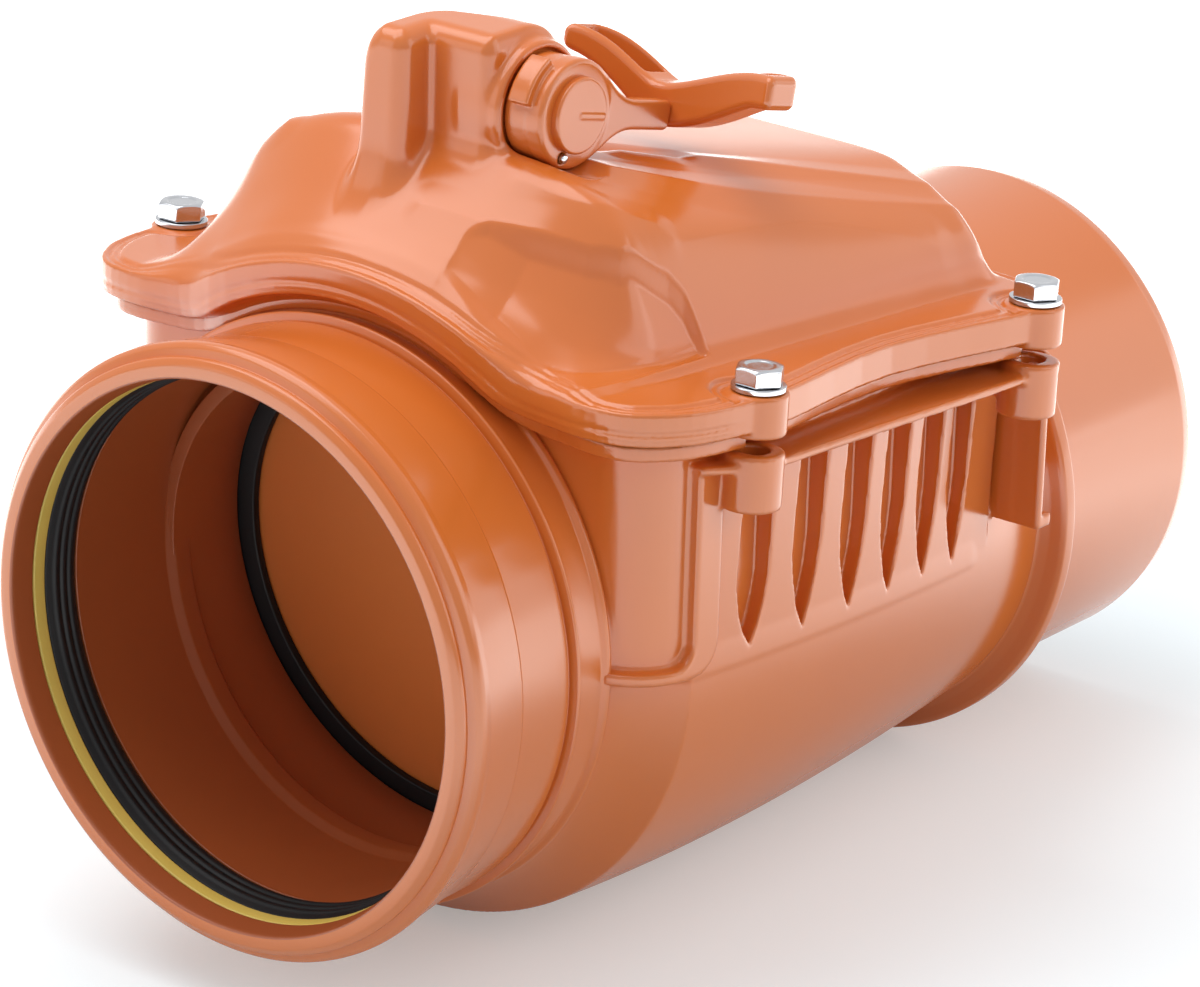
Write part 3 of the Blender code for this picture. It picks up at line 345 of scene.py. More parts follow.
def smoothLine(points, steps):
    ends = [points[0], *points, points[-1]]
    line = []
    for p, q, r, s in zip(ends, ends[1:], ends[2:], ends[3:]):
        p, q, r, s = (np.array(v, float) for v in (p, q, r, s))
        for i in range(steps):
            t = i / steps
            bend = r - p + t * (2 * p - 5 * q + 4 * r - s + t * (3 * (q - r) + s - p))
            line.append(tuple(q + 0.5 * t * bend))
    return line + [tuple(points[-1])]


def flangeOutline():
    # Seen from above, from the front bolts: a waisted plate with a bulge in front.
    side = flange["across"] + flange["pastBolts"]
    front, pitch = flange["front"], flange["pitch"]
    rear = pitch + flange["pastRear"]
    line = smoothLine([
        (0, front), (0.395 * side, front + 1), (0.58 * side, front + 6), (side - 28, front + 4),
        (side - 14, front + 8), (side - 4, front + 22), (side, -12), (side, 8),
        (side - 7.5, pitch / 2), (side, pitch - 8), (side - 1, pitch + 6), (side - 12, rear - 5),
        (side - 35, rear), (0, rear),
    ], 4)
    return line + [(-x, y) for x, y in reversed(line) if abs(x) > 1e-6]


def flangePlan(g):
    return outlineField(g["x"][:, :, 0], g["y"][:, :, 0] - flange["y"], flangeOutline())


def onSlope(g):
    # Place along the flange and height over it.
    dy, dz = g["y"] - flange["y"], g["z"] - flange["z"]
    c, s = math.cos(flange["slope"]), math.sin(flange["slope"])
    return dy * c - dz * s, dy * s + dz * c


def leaning(height, x, y):
    # Factor that turns height over a sloping surface into distance from it.
    dx = np.gradient(height, x[:, 0, 0], axis=0)
    dy = np.gradient(height, y[0, :, 0], axis=1)
    return (1 / np.sqrt(1 + dx**2 + dy**2))[:, :, None]


# The body between socket and spigot: a barrel with a box on it. Half is drawn, then mirrored.
bodyShape = {
    "low": (0, 56, -112), "high": (122, 306, 98), "step": 0.7, "boxFront": 66.0,
    "boxRear": 262.0, "boxCorner": 18.0, "boxSide": 100.6, "sideEnd": 90.0, "sideInset": 0.4,
    "boxFoot": 1.8, "lidDrop": 13.0,
}
rail = {
    "wide": 4.2, "drop": 0.6, "front": 60.0, "inner": 74.0, "strapRear": 95.5, "strapFoot": 2.0,
    "strapCorner": 10.0, "roomRear": 84.0, "roomFoot": 1.8, "roomCorner": 7.0,
}
skirt = {
    "front": 97.0, "rear": 256.0, "inner": 80.0, "startDrop": 6.0, "footDrop": 12.0,
    "flare": 3.0, "inset": 0.05, "intoShelf": 1.0,
}
pockets = {
    "tips": (116.0, 143.5, 169.0, 192.0, 213.0, 232.0), "width": 15.5, "shrink": 0.7,
    "floor": 5.0, "tipRise": 3.0, "intoShelf": 0.2, "underBoss": 1.5,
    "side": ((1, 1), (1, 0.42), (0.80, 0.26), (0.45, 0.11)),
}
shelf = {
    "drop": 20.0, "thick": 2.6,
    "outline": ((80, 84), (105.5, 84), (115, 99), (114, 244), (101, 260.5), (70, 260.5)),
}
bodyFlange = {
    "inset": 4.5, "thick": 5.0, "wallFront": 71.0, "wallRear": 102.0, "wallSide": 84.0,
    "wallFoot": 40.0,
}
nutBoss = {
    "radius": 9.0, "drop": 17.0, "height": 17.0, "armStart": 90.0, "armShort": 2.0,
    "armHalf": 6.0, "armRise": 4.5, "armDrop": 0.8,
}
rearCorner = {
    "top": 0.8, "roomFront": 243.0, "roomDeep": 52.0, "roomSlant": 0.30, "slantFrom": 240.0,
    "roomOver": 2.0, "roomFloor": 93.5, "finFront": 257.5, "finRear": 260.5, "finInner": 74.0,
    "finOuter": 103.5, "finDeep": 57.0, "hookInner": 99.5, "hookFront": 258.0,
    "hookRear": 265.0, "hookTall": 4.0,
}
chamber = {
    "wall": 5.0, "sideWall": 8.5, "front": 76.0, "rear": 287.0, "boxFront": 74.5,
    "boxRear": 257.0, "inlet": 81.0, "inletStart": 80.0, "outletStart": 270.0,
}
boreSide = {"chamberFront": 76.0, "chamberRear": 290.0, "socket": 83.5, "wall": 3.0, "spigot": 1.5}


def barrelField(g):
    y = g["y"]
    slope = np.gradient(g["radius"][0, :, 0], y[0, :, 0])[None, :, None]
    barrel = np.hypot(g["x"], g["z"] - g["middle"]) - g["radius"]
    barrel = barrel / np.sqrt(1 + slope**2)
    return both(0.8, barrel, between(y, belly["shoulder"], belly["end"]))


def boxPlan(g):
    # Distance in plan to the box with its round corners.
    b, x, y = bodyShape, g["x"], g["y"]
    half = np.where(y < b["sideEnd"], b["boxSide"], g["radius"] - b["sideInset"])
    beside = x - half + b["boxCorner"]
    front = b["boxFront"] + b["boxCorner"] - y
    rear = y - b["boxRear"] + b["boxCorner"]
    beyond = np.maximum(front, rear)
    corner = np.hypot(np.maximum(beside, 0), np.maximum(beyond, 0))
    return corner + np.minimum(np.maximum(beside, beyond), 0) - b["boxCorner"]


def railField(g, plan):
    # Thin ledge round the front corners, with the strap behind them.
    r, x, y, z = rail, g["x"], g["y"], g["z"]
    strap = both(r["strapCorner"], y - r["strapRear"], -r["strapFoot"] - z)
    room = both(r["roomCorner"], r["roomFoot"] - z, y - r["roomRear"])
    return both(0.9, np.maximum(strap, -room) + 0 * x, plan - r["wide"],
                g["above"] + shelf["drop"] + r["drop"], r["front"] - y, r["inner"] - x)


def skirtField(g):
    # The ribbed side, which flares out to the shelf.
    k, x, y, z = skirt, g["x"], g["y"], g["z"]
    radius, middle = g["radius"], g["middle"]
    start = middle - k["startDrop"]
    top = flangeZ(y) - shelf["drop"] - shelf["thick"]
    share = np.clip((z - start) / (top - start), 0, 1)
    side = np.sqrt(np.maximum(radius**2 - np.minimum(z - middle, 0) ** 2, 1)) - k["inset"]
    side = side + k["flare"] * share**2
    field = both(0.8, x - side, between(y, k["front"], k["rear"]), z - top - k["intoShelf"])
    return np.maximum(field, np.maximum(k["inner"] - x, start - k["footDrop"] - z))


def pocketRooms(g):
    # Dagger-shaped rooms between the ribs. The first one ends under the bolt's boss.
    p, x, y, z = pockets, g["x"], g["y"], g["z"]
    outline = [(-a, c) for a, c in p["side"]] + [(0, 0)] + list(reversed(p["side"]))
    rooms = None
    for i, tip in enumerate(p["tips"]):
        foot = float(centreZ(np.float32(tip))) + p["tipRise"]
        top = float(flangeZ(tip)) - shelf["drop"] - shelf["thick"] + p["intoShelf"]
        if i == 0:
            top = float(flangeZ(tip)) - nutBoss["drop"] - nutBoss["height"] - p["underBoss"]
        half = (p["width"] - p["shrink"] * i) / 2
        dagger = [(tip + a * half, foot + c * (top - foot)) for a, c in outline]
        blade = outlineField(y[0], z[0], dagger)[None]
        room = both(0.5, blade + 0 * x, g["radius"] - p["floor"] - x + 0 * z)
        rooms = room if rooms is None else np.minimum(rooms, room)
    return rooms


def shelfField(g):
    plan = outlineField(g["x"][:, :, 0], g["y"][:, :, 0], shelf["outline"])[:, :, None]
    low = -shelf["drop"] - shelf["thick"]
    return both(0.7, plan + 0 * g["z"], between(g["above"], low, -shelf["drop"]))


def bodyFlangeField(g):
    # Plate under the cover's flange, its arch, and the wall under the arch.
    f, x, y, z = bodyFlange, g["x"], g["y"], g["z"]
    top = flangeTop(x, y, flange["thickness"] + flange["shadowGap"])
    lean = leaning(top[:, :, 0], x, y)
    edge = flangePlan(g)[:, :, None] + f["inset"] + 0 * z
    plate = both(0.8, edge, (z - top) * lean, (top - f["thick"] - z) * lean)
    wall = both(0.6, (z - top) * lean, between(y, f["wallFront"], f["wallRear"]),
                x - f["wallSide"] + 0 * z, f["wallFoot"] - z)
    return blendIn(plate, wall, 1.5)


def addBosses(g, solid):
    # Round bosses for the nuts, each on an arm from the box.
    n, x, along, above = nutBoss, g["x"], g["along"], g["above"]
    low = -n["drop"] - n["height"]
    for bx, bs in boltSpots:
        if bx < 0:
            continue
        away = np.hypot(x - bx, along - bs)
        boss = both(0.9, away - n["radius"], between(above, low, -n["drop"]))
        arm = both(0.8, between(x, n["armStart"], bx - n["armShort"]),
                   between(along, bs - n["armHalf"], bs + n["armHalf"]),
                   between(above, low + n["armRise"], -n["drop"] - n["armDrop"]))
        solid = blendIn(solid, blendIn(boss, arm, 1.0), 1.5)
    return solid


def addRearCorner(g, solid):
    # Under the rear boss: a sunk floor with a fin behind it, hooked at its foot.
    r, x, y, z = rearCorner, g["x"], g["y"], g["z"]
    top = float(flangeZ(bodyShape["boxRear"])) - shelf["drop"] - r["top"]
    low = top - r["finDeep"]
    slant = -r["roomSlant"] * (y - r["slantFrom"])
    room = both(0.8, between(y, r["roomFront"], r["finFront"]) + 0 * x,
                between(z, top - r["roomDeep"] + slant, top + r["roomOver"]) + 0 * x,
                r["roomFloor"] - x + 0 * z)
    fin = both(0.7, between(x, r["finInner"], r["finOuter"]),
               between(y, r["finFront"], r["finRear"]), between(z, low, top) + 0 * x)
    hook = both(0.7, between(x, r["hookInner"], r["finOuter"]),
                between(y, r["hookFront"], r["hookRear"]),
                between(z, low, low + r["hookTall"]) + 0 * x)
    return carve(blendIn(solid, np.minimum(fin, hook), 1.0), room, 0.6)


def openInside(g, solid, plan):
    c, x, y, z = chamber, g["x"], g["y"], g["z"]
    radius, middle = g["radius"], g["middle"]
    barrel = both(2.0, np.hypot(x, z - middle) - radius + c["wall"],
                  between(y, c["front"], c["rear"]))
    box = both(2.0, plan + c["wall"] + 0 * z, between(y, c["boxFront"], c["boxRear"]) + 0 * x,
               -(z - middle))
    inside = np.maximum(np.minimum(barrel, box), x - radius + c["sideWall"])
    solid = carve(solid, inside, 1.0)
    inlet = np.hypot(x, z + 0 * y) - c["inlet"]
    solid = carve(solid, both(0.5, inlet, y - c["inletStart"]), 0.5)
    outlet = np.hypot(x, z + pipe["outletDrop"] + 0 * y) - (pipe["spigot"] - pipe["wall"])
    solid = carve(solid, both(0.5, outlet, c["outletStart"] - y), 0.5)
    frontHole, rearHole = [
        np.hypot(x - flange["across"], g["along"] - bs) - flange["boltHole"]
        for bs in (0.0, flange["pitch"])]
    return carve(solid, np.minimum(frontHole, rearHole), 0.4)


def paintBoreShade(made):
    # Faces within the pipe's wall take the bore's material, whose darker colour is painted shade.
    b, mesh = boreSide, made.data
    centres, normals = np.empty((2, len(mesh.polygons) * 3))
    mesh.polygons.foreach_get("center", centres)
    mesh.polygons.foreach_get("normal", normals)
    x, y, z = ((centres.reshape(-1, 3) - lipCentre) * 1000).T
    inSocket, inChamber = y < b["chamberFront"], y < b["chamberRear"]
    z = z - np.where(inSocket, 0, np.where(inChamber, centreZ(y), -pipe["outletDrop"]))
    nx, _, nz = normals.reshape(-1, 3).T
    limit = np.where(inChamber, bellyRadius(y) - b["wall"], pipe["spigot"] - b["spigot"])
    limit = np.where(inSocket, b["socket"], limit)
    inside = (np.hypot(x, z) < limit) & ((x * nx + z * nz < 0) | inSocket)
    mesh.materials.append(boreShadePvc)
    mesh.polygons.foreach_set("material_index", inside.astype(np.int32))


def makeBody():
    b = bodyShape
    g = makeGrid(b["low"], b["high"], b["step"])
    g["along"], g["above"] = onSlope(g)
    g["radius"], g["middle"] = bellyRadius(g["y"]), centreZ(g["y"])
    plan = boxPlan(g)
    walls = between(g["z"], g["middle"] - b["boxFoot"], flangeZ(g["y"]) - b["lidDrop"])
    solid = blendIn(barrelField(g), both(0.6, plan + 0 * g["z"], walls), 1.5)
    solid = blendIn(solid, railField(g, plan), 1.2)
    solid = carve(np.minimum(solid, skirtField(g)), pocketRooms(g), 0.6)
    solid = blendIn(solid, shelfField(g), 0.8)
    solid = blendIn(solid, bodyFlangeField(g), 1.5)
    solid = addRearCorner(g, addBosses(g, solid))
    g, solid = mirrorField(g, openInside(g, solid, plan))
    paintBoreShade(solidObject("bodyShell", g, solid, orangePvc, "valve", ["valve_body"], relax=1))


makeBody()
print("body")

# Turned pieces, as closed profiles of (radius, distance along the pipe).
socketProfile = [
    (82.6, 0), (86.4, 0), (88.3, 1.4), (88.5, 2.6), (88.1, 3.4), (90.6, 4.2), (91.8, 5.6),
    (92, 7.2), (91.3, 9.8), (88.9, 26.6), (88.2, 27.3), (87.7, 48.4), (86.3, 49.3), (86.6, 49.9),
    (89.7, 50.3), (89.9, 51.3), (88.4, 52.4), (88.3, 62.2), (89.6, 63.3), (90.0, 64.5),
    (89.4, 65.5), (88.0, 66.2), (88.0, 73), (78.5, 73), (78.5, 67), (80.4, 64), (80.4, 25.5),
    (83.3, 25.5), (83.3, 8.0), (81.2, 8.0), (81.2, 7.2), (82.2, 1.2),
]
spigotProfile = [
    (76, 280), (80, 280), (80, 290.2), (81, 292.6), (84, 294.2), (87.6, 295.2), (89, 296.2),
    (89, 300.6), (88, 301.6), (81.5, 302), (80.2, 303), (80, valveLength - 5),
    (78.8, valveLength), (76, valveLength),
]
seat = {
    "y": 95.0, "z": -4.0, "tilt": math.radians(6),
    "tube": [(78.5, -29), (83, -29), (83, -1.6), (82, 0), (78.5, 0)],
    "flapRing": [(72.6, 0.5), (81.5, 0.3), (81.5, 3.3), (72.6, 3.3)],
}
sealProfile = [
    (81.2, 13.1), (83, 13.1), (83, 25.1), (80.6, 25.1), (79.2, 22.9), (79.0, 21.6), (79.8, 20.6),
    (79.3, 19.8), (79.3, 18.8), (80.1, 18.0), (79.7, 17.2), (79.7, 16.2), (80.4, 15.4),
]
yellowProfile = [(81.3, 8.6), (83, 8.3), (83, 12.8), (80.9, 12.8)]

# The socket's and spigot's bores get the painted shade of the bore's material.
paintBoreShade(turned("socketShell", socketProfile, 0.5, orangePvc))
spigotPlace = Matrix.Translation((0, 0, -pipe["outletDrop"]))
paintBoreShade(turned("spigotShell", spigotProfile, 0.6, orangePvc, place=spigotPlace))
seatPlace = Matrix.Translation((0, seat["y"], seat["z"])) @ Matrix.Rotation(seat["tilt"], 4, "X")
# The seat's tube, deep in the chamber, takes the bore's material with its painted shade.
turned("seatTube", seat["tube"], 0.4, boreShadePvc, place=seatPlace)
turned("lipSeal", sealProfile, 0.5, rubber, nodes=["socket_seal"])
turned("yellowRing", yellowProfile, 0.5, yellowPlastic, nodes=["seal_retaining_ring"])
turned("flapRing", seat["flapRing"], 0.6, rubber, "flap", ["flap_gasket"],
       seatPlace)
print("turned pieces")

coverShape = {
    "low": (-122.4, 40, 58), "high": (122.4, 266, 176), "step": 0.6, "foot": 8.0,
    "bossRadius": 9.0, "bossDeep": 15.5,
}
# The flange's rim: a raised border with two notches, and two ribs along its front edge.
rim = {
    "inset": 5.0, "notches": (0.0, 2.6), "wide": 1.1, "deep": 0.8, "raised": 0.8, "fall": 1.2,
    "roundBolts": 12.5, "ribDepths": (6.2, 8.8), "ribWide": 0.8, "rib": 0.4, "ribsEnd": 92.0,
    "ribsFade": 8.0,
}
# Dome sections as (distance along, ((across, height), ...)).
dome = {
    "front": 52.0, "rear": 245.0, "frontFall": 1.2, "heel": 27.0, "heelLength": 11.0,
    "shell": 6.0, "plan": (57.0, 254.5, 92.0), "hollow": (70.0, 251.0, 55.0),
    "sections": (
        (52, ((0, 104), (20, 102.5), (38, 98), (52, 91), (62, 86), (74, 83.5), (84, 79.5))),
        (72, ((0, 120), (20, 119), (38, 115), (54, 107), (66, 99), (77, 91), (86, 79.5))),
        (92, ((0, 136.5), (31, 135.5), (53, 130), (66, 122), (73, 111), (81, 93), (86, 78.5))),
        (245, ((0, 107.5), (45, 107), (58, 104), (70, 98), (81, 90.5), (86, 83), (88, 70.5))),
    ),
}
# Low folds that run over the dome, as (height, reach, line seen from above).
folds = (
    (1.7, 9, ((39.7, 106.6), (52, 129.3), (61.7, 158), (69.9, 203.6), (76.1, 242.7), (80, 252))),
    (1.3, 7, ((33, 134.6), (41.1, 154.7), (54.6, 193.7), (67.1, 242.4))),
    (1.2, 9, ((71, 112), (71.5, 136.7), (72.4, 170.5), (80.1, 212.5), (84, 226))),
    (1.3, 8, ((34.4, 86.2), (56.6, 91.3), (67.3, 108.2))),
    (0.9, 7, ((10, 73), (33, 74.8), (53.5, 80.8), (64, 85.5), (70, 92))),
    (-1.6, 8, ((25, 132), (33.1, 143.9), (39, 153))),
    (1.0, 7, ((-58, 92), (-62, 130), (-64, 200))),
)
# Sunk panel on the right front shoulder: flush towards the middle, with a steep rear wall.
panel = {
    "deep": 6.5, "flushTo": 28.0, "fade": 18.0, "edge": 0.5, "wall": 2.2, "fadeUp": 9.0,
    "outline": (
        (20, 66), (33, 75.5), (43.5, 78.3), (53.5, 81.5), (61.7, 84.8), (68.7, 90), (72.5, 99.5),
        (74.5, 105), (77.5, 109.3), (83, 111.7), (110, 116), (110, 40), (20, 40),
    ),
}
tower = {
    "box": ((-48, 48), (52, 152), (84, 176)), "left": -21.0, "right": 22.5, "front": 89.0,
    "rear": 128.5, "foot": 85.0, "top": 170.3, "taper": 0.04, "taperFrom": 110.0,
    "corner": 5.0, "leftRear": 13.0, "bayRight": -1.0, "bayFront": 75.0, "bayTaper": 0.03,
    "bayInto": 22.0, "bayFillet": 2.5, "topEdge": 8.0, "rearY": 106.5, "rearZ": 147.0,
    "rearRadius": 21.8, "wall": 4.5,
}
# The top falls away towards the rear left corner, from this line on.
topFall = {"from": 98.4, "skew": 0.36, "width": 46.0, "steep": 0.93}
shaft = {
    "y": 108.0, "z": 146.0, "hole": 6.8, "boss": 19.0, "bossStart": 8.0, "bossFace": 24.6,
    "recess": 16.8, "recessDeep": 2.4,
}
# The bay's front runs into the dome in a wide curve, the tower's sides in a tight one.
towerFoot = {"fillet": 4.5, "bayExtra": 6.0, "bayRear": 86.0, "bayRight": 1.0, "bayLeft": 25.0}


def blur(values, cells, axis):
    # Moving average, run twice.
    kernel, side = np.ones(cells) / cells, cells // 2
    for _ in range(2):
        values = np.apply_along_axis(
            lambda v: np.convolve(np.pad(v, side, "edge"), kernel, "same")[side:len(v) + side],
            axis, values)
    return values


def domeHeight(xs, ys):
    d = dome
    height = np.zeros((len(xs), len(ys)))
    for j, y in enumerate(ys):
        held = min(max(y, d["front"]), d["rear"])
        for near, far in zip(d["sections"], d["sections"][1:]):
            if near[0] <= held <= far[0]:
                break
        t = (held - near[0]) / (far[0] - near[0])
        fall = d["heel"] * max((y - d["rear"]) / d["heelLength"], 0) ** 1.5
        fall += d["frontFall"] * max(d["front"] - y, 0)
        points = [((1 - t) * nearX + t * farX, (1 - t) * nearZ + t * farZ - fall)
                  for (nearX, nearZ), (farX, farZ) in zip(near[1], far[1])]
        line = np.array(smoothLine(points, 10))
        low = flangeZ(y) - 6
        height[:, j] = np.maximum(np.interp(np.abs(xs), line[:, 0], line[:, 1], right=low), low)
    return height


def foldHeight(px, py):
    total = np.zeros(px.shape)
    for height, reach, line in folds:
        line = smoothLine(line, 6)
        best = np.full(px.shape, 1e9)
        for (ax, ay), (bx, by) in zip(line, line[1:]):
            ex, ey = bx - ax, by - ay
            t = np.clip(((px - ax) * ex + (py - ay) * ey) / (ex * ex + ey * ey + 1e-9), 0, 1)
            best = np.minimum(best, np.hypot(px - ax - t * ex, py - ay - t * ey))
        total += height * np.clip(1 - best / reach, 0, 1) ** 1.3
    return total


def panelDepth(px, py, height):
    inside = -outlineField(px, py, panel["outline"])
    share = np.clip((px - panel["flushTo"]) / panel["fade"], 0, 1) ** 0.8
    wall = np.clip((inside + panel["edge"]) / panel["wall"], 0, 1)
    wall = wall * wall * (3 - 2 * wall)
    over = np.clip((height - flangeTop(px, py)) / panel["fadeUp"], 0, 1)
    return panel["deep"] * share * wall * over


def domeSkin(g):
    px, py = np.meshgrid(g["x"][:, 0, 0], g["y"][0, :, 0], indexing="ij")
    height = blur(blur(domeHeight(px[:, 0], py[0]), 7, 0), 11, 1) + foldHeight(px, py)
    height = height - panelDepth(px, py, height)
    return (g["z"] - height[:, :, None]) * leaning(height, g["x"], g["y"])


def coverFlange(g, along):
    r, x, y, z = rim, g["x"], g["y"], g["z"]
    plan = flangePlan(g)
    groove = plan + r["inset"]
    for bx, bs in boltSpots:
        groove = carve(groove, np.hypot(x - bx, along - bs)[:, :, 0] - r["roundBolts"], 4.0)
    notch = sum(r["deep"] * np.clip(1 - np.abs(groove - place) / r["wide"], 0, 1)
                for place in r["notches"])
    raised = r["raised"] * np.clip(0.5 - groove / r["fall"], 0, 1)
    flat = flangeTop(x, y)
    lean = leaning(flat[:, :, 0], x, y)
    top = flat + (raised - notch)[:, :, None]
    under = flangeTop(x, y, flange["thickness"])
    depth = (flat - z) * lean
    ribs = sum(np.exp(-((depth - level) / r["ribWide"]) ** 2) for level in r["ribDepths"])
    ribs = r["rib"] * ribs * np.clip((r["ribsEnd"] - y) / r["ribsFade"], 0, 1)
    return both(0.9, plan[:, :, None] + ribs, (z - top) * lean, (under - z) * lean)


def towerColumn(x, y, z, around):
    t = tower
    left = t["left"] + t["taper"] * (z - t["taperFrom"])
    walls = both(t["corner"], x - t["right"] + 0 * y + 0 * z, t["front"] - y)
    walls = both(t["leftRear"], both(t["corner"], walls, left - x + 0 * y), y - t["rear"])
    bayFront = t["bayFront"] + t["bayTaper"] * (z - t["taperFrom"])
    bay = both(t["corner"], between(x, left, t["bayRight"]) + 0 * y,
               between(y, bayFront, t["front"] + t["bayInto"]) + 0 * x)
    walls = blendIn(walls, bay, t["bayFillet"])
    past = np.maximum(y - topFall["from"] - topFall["skew"] * x, 0)
    crown = (z - t["top"] + past**2 / topFall["width"]) * topFall["steep"]
    crown = both(t["leftRear"], left - x + 0 * y, crown)
    crown = both(t["topEdge"], crown, x - t["right"])
    rearRound = np.hypot(np.maximum(y - t["rearY"], 0), np.maximum(z - t["rearZ"], 0))
    rearRound = rearRound - t["rearRadius"] + 0 * x
    column = np.maximum(both(6.0, walls, np.maximum(crown, rearRound)), t["foot"] - z)
    boss = both(2.2, around - shaft["boss"], between(x, shaft["bossStart"], shaft["bossFace"]))
    return blendIn(column, boss, 2.0)


def addTower(g, solid):
    t, f, s = tower, towerFoot, shaft
    near = tuple(slice(int((a - low) / g["step"]), int((b - low) / g["step"]))
                 for (a, b), low in zip(t["box"], g["low"]))
    x, y, z = g["x"][near[0]], g["y"][:, near[1]], g["z"][:, :, near[2]]
    around = np.hypot(y - s["y"], z - s["z"])
    column = towerColumn(x, y, z, around)
    inFront = np.clip((f["bayRear"] - y) / 8, 0, 1)
    beside = np.clip((f["bayRight"] - x) / 9, 0, 1) * np.clip((x + f["bayLeft"]) / 9, 0, 1)
    part = blendIn(solid[near], column, f["fillet"] + f["bayExtra"] * inFront * beside + 0 * z)
    recess = both(0.4, around - s["recess"], s["bossFace"] - s["recessDeep"] - x + 0 * y)
    part = carve(part, recess, 0.6)
    hollow = both(4.0, between(x, t["left"] + 5, t["right"] - 4),
                  between(y, t["front"] + 4, t["rear"] - 5), between(z, 90, t["top"] - 6))
    part = carve(part, np.maximum(hollow, column + t["wall"]), 1.0)
    # The shaft's hole goes through the right wall only.
    solid[near] = carve(part, around - s["hole"] + 0 * x + np.where(x < 0, 60, 0), 0.4)


def makeCover():
    c, d = coverShape, dome
    g = makeGrid(c["low"], c["high"], c["step"])
    x, y, z = g["x"], g["y"], g["z"]
    along, above = onSlope(g)
    solid = coverFlange(g, along)
    skin = domeSkin(g)
    front, rear, side = d["plan"]
    plan = both(14.0, between(y, front, rear), np.abs(x) - side)
    solid = blendIn(solid, both(3.0, skin, plan, between(above, -6, 70)), c["foot"])
    for bx, bs in boltSpots:
        away = np.hypot(x - bx, along - bs) - c["bossRadius"]
        solid = blendIn(solid, both(0.6, away, between(above, -c["bossDeep"], 0.4)), 1.0)
    addTower(g, solid)
    front, rear, foot = d["hollow"]
    hollow = both(1.0, skin + d["shell"], between(y, front, rear) + 0 * x, foot - z)
    solid = carve(solid, hollow, 1.0)
    for bx, bs in boltSpots:
        solid = carve(solid, np.hypot(x - bx, along - bs) - flange["boltHole"], 0.4)
    solidObject("coverShell", g, solid, orangePvc, "valve", ["cover"], relax=1)


makeCover()
print("cover")

gasket = {"edge": 3.5, "inner": 12.0, "play": 0.05}


def makeGasket():
    # Flat rubber between the two flanges, set in a little from their edge.
    line = np.array(flangeOutline())
    ahead = np.roll(line, -1, axis=0) - np.roll(line, 1, axis=0)
    inward = np.stack((-ahead[:, 1], ahead[:, 0]), axis=1)
    inward = inward / np.linalg.norm(ahead, axis=1)[:, None]
    high = flange["thickness"] + gasket["play"]
    low = flange["thickness"] + flange["shadowGap"] - gasket["play"]
    edge, inner = gasket["edge"], gasket["inner"]
    points = []
    for inset, drop in ((edge, high), (edge, low), (inner, low), (inner, high)):
        x, y = (line + inward * inset).T
        y = y + flange["y"]
        points += list(zip(x, y, flangeTop(x, y, drop)))
    meshObject("gasketShell", np.array(points), bandFaces(4, len(line)), rubber, "valve",
               ["cover_gasket"], 40)


makeGasket()

lever = {
    "low": (21, 86, 124), "high": (41, 158, 170), "step": 0.4, "hub": 15.8, "start": 23.4,
    "face": 37.2, "thick": 6.0, "length": 46.0, "drop": math.radians(13), "endHeight": 8.8,
    "stopTurn": 137.0, "stopHalf": 7.5, "stopOut": 3.2, "stopStart": 26.5, "stopEnd": 33.5,
    "stopInner": 12.0,
}
pin = {"y": 102.0, "z": 134.2, "hole": 1.7, "holeFloor": 34.0}
cap = {
    "low": (35, 94, 132), "high": (43, 122, 160), "step": 0.3, "radius": 11.3, "start": 36.8,
    "face": 39.9, "ridge": 10.0, "ridgeHalf": 0.6, "ridgeStart": -1.0, "ridgeFace": 40.05,
}
# Butterfly handle across the lever: two wings from a low point at X = low to left and right.
handle = {
    "gridLow": (-4, 142, 124), "gridHigh": (84, 176, 166), "low": 29.5, "left": 0.0, "right": 77.0,
    "chord": 16.0, "rise": 11.5, "rightRise": -1.1, "lift": 3.0, "rim": 2.7, "sweep": 11.0,
    "gap": 0.3, "thick": 6.0, "narrow": 0.10, "rightDeep": (12.5, 2.5, 2.5),
    "leftDeep": (13.0, 5.5), "troughMiddle": 0.56, "troughHalf": 0.36,
}
leanFactor = {"height": 0.93, "chord": 0.88}  # brings slanted heights back to distances


def alongLever(g):
    dy, dz = g["y"] - shaft["y"], g["z"] - shaft["z"]
    c, s = math.cos(lever["drop"]), math.sin(lever["drop"])
    return dy * c - dz * s, dy * s + dz * c


def makeLever():
    v = lever
    g = makeGrid(v["low"], v["high"], v["step"])
    x = g["x"]
    a, b = alongLever(g)
    around = np.hypot(a, b)
    disc = around - v["hub"]
    taper = v["endHeight"] / 2 + 0.9 * np.clip((30 - a) / 16, 0, 1) ** 2
    bar = both(2.0, np.abs(b) - taper, between(a, 0, v["length"]))
    flat = blendIn(disc, bar, 14.0)
    solid = both(1.2, flat + 0 * x, between(x, v["face"] - v["thick"], v["face"]))
    hub = both(1.2, disc + 0 * x, between(x, v["start"], v["face"]))
    solid = blendIn(solid, hub, 1.0)
    # The lug that meets the stop: 0.3 mm of rim for each degree of turn.
    turn = np.degrees(np.arctan2(g["z"] - shaft["z"], g["y"] - shaft["y"]))
    lug = both(0.6, around - v["hub"] - v["stopOut"] + 0 * x,
               np.abs(turn - v["stopTurn"]) * 0.3 - v["stopHalf"] + 0 * x,
               between(x, v["stopStart"], v["stopEnd"]), v["stopInner"] - around + 0 * x)
    solid = blendIn(solid, lug, 0.8)
    hole = np.hypot(g["y"] - pin["y"], g["z"] - pin["z"]) - pin["hole"]
    solid = carve(solid, both(0.2, hole + 0 * x, pin["holeFloor"] - x + 0 * hole), 0.4)
    solidObject("leverShell", g, solid, orangePvc, "lock", ["lock_lever"])


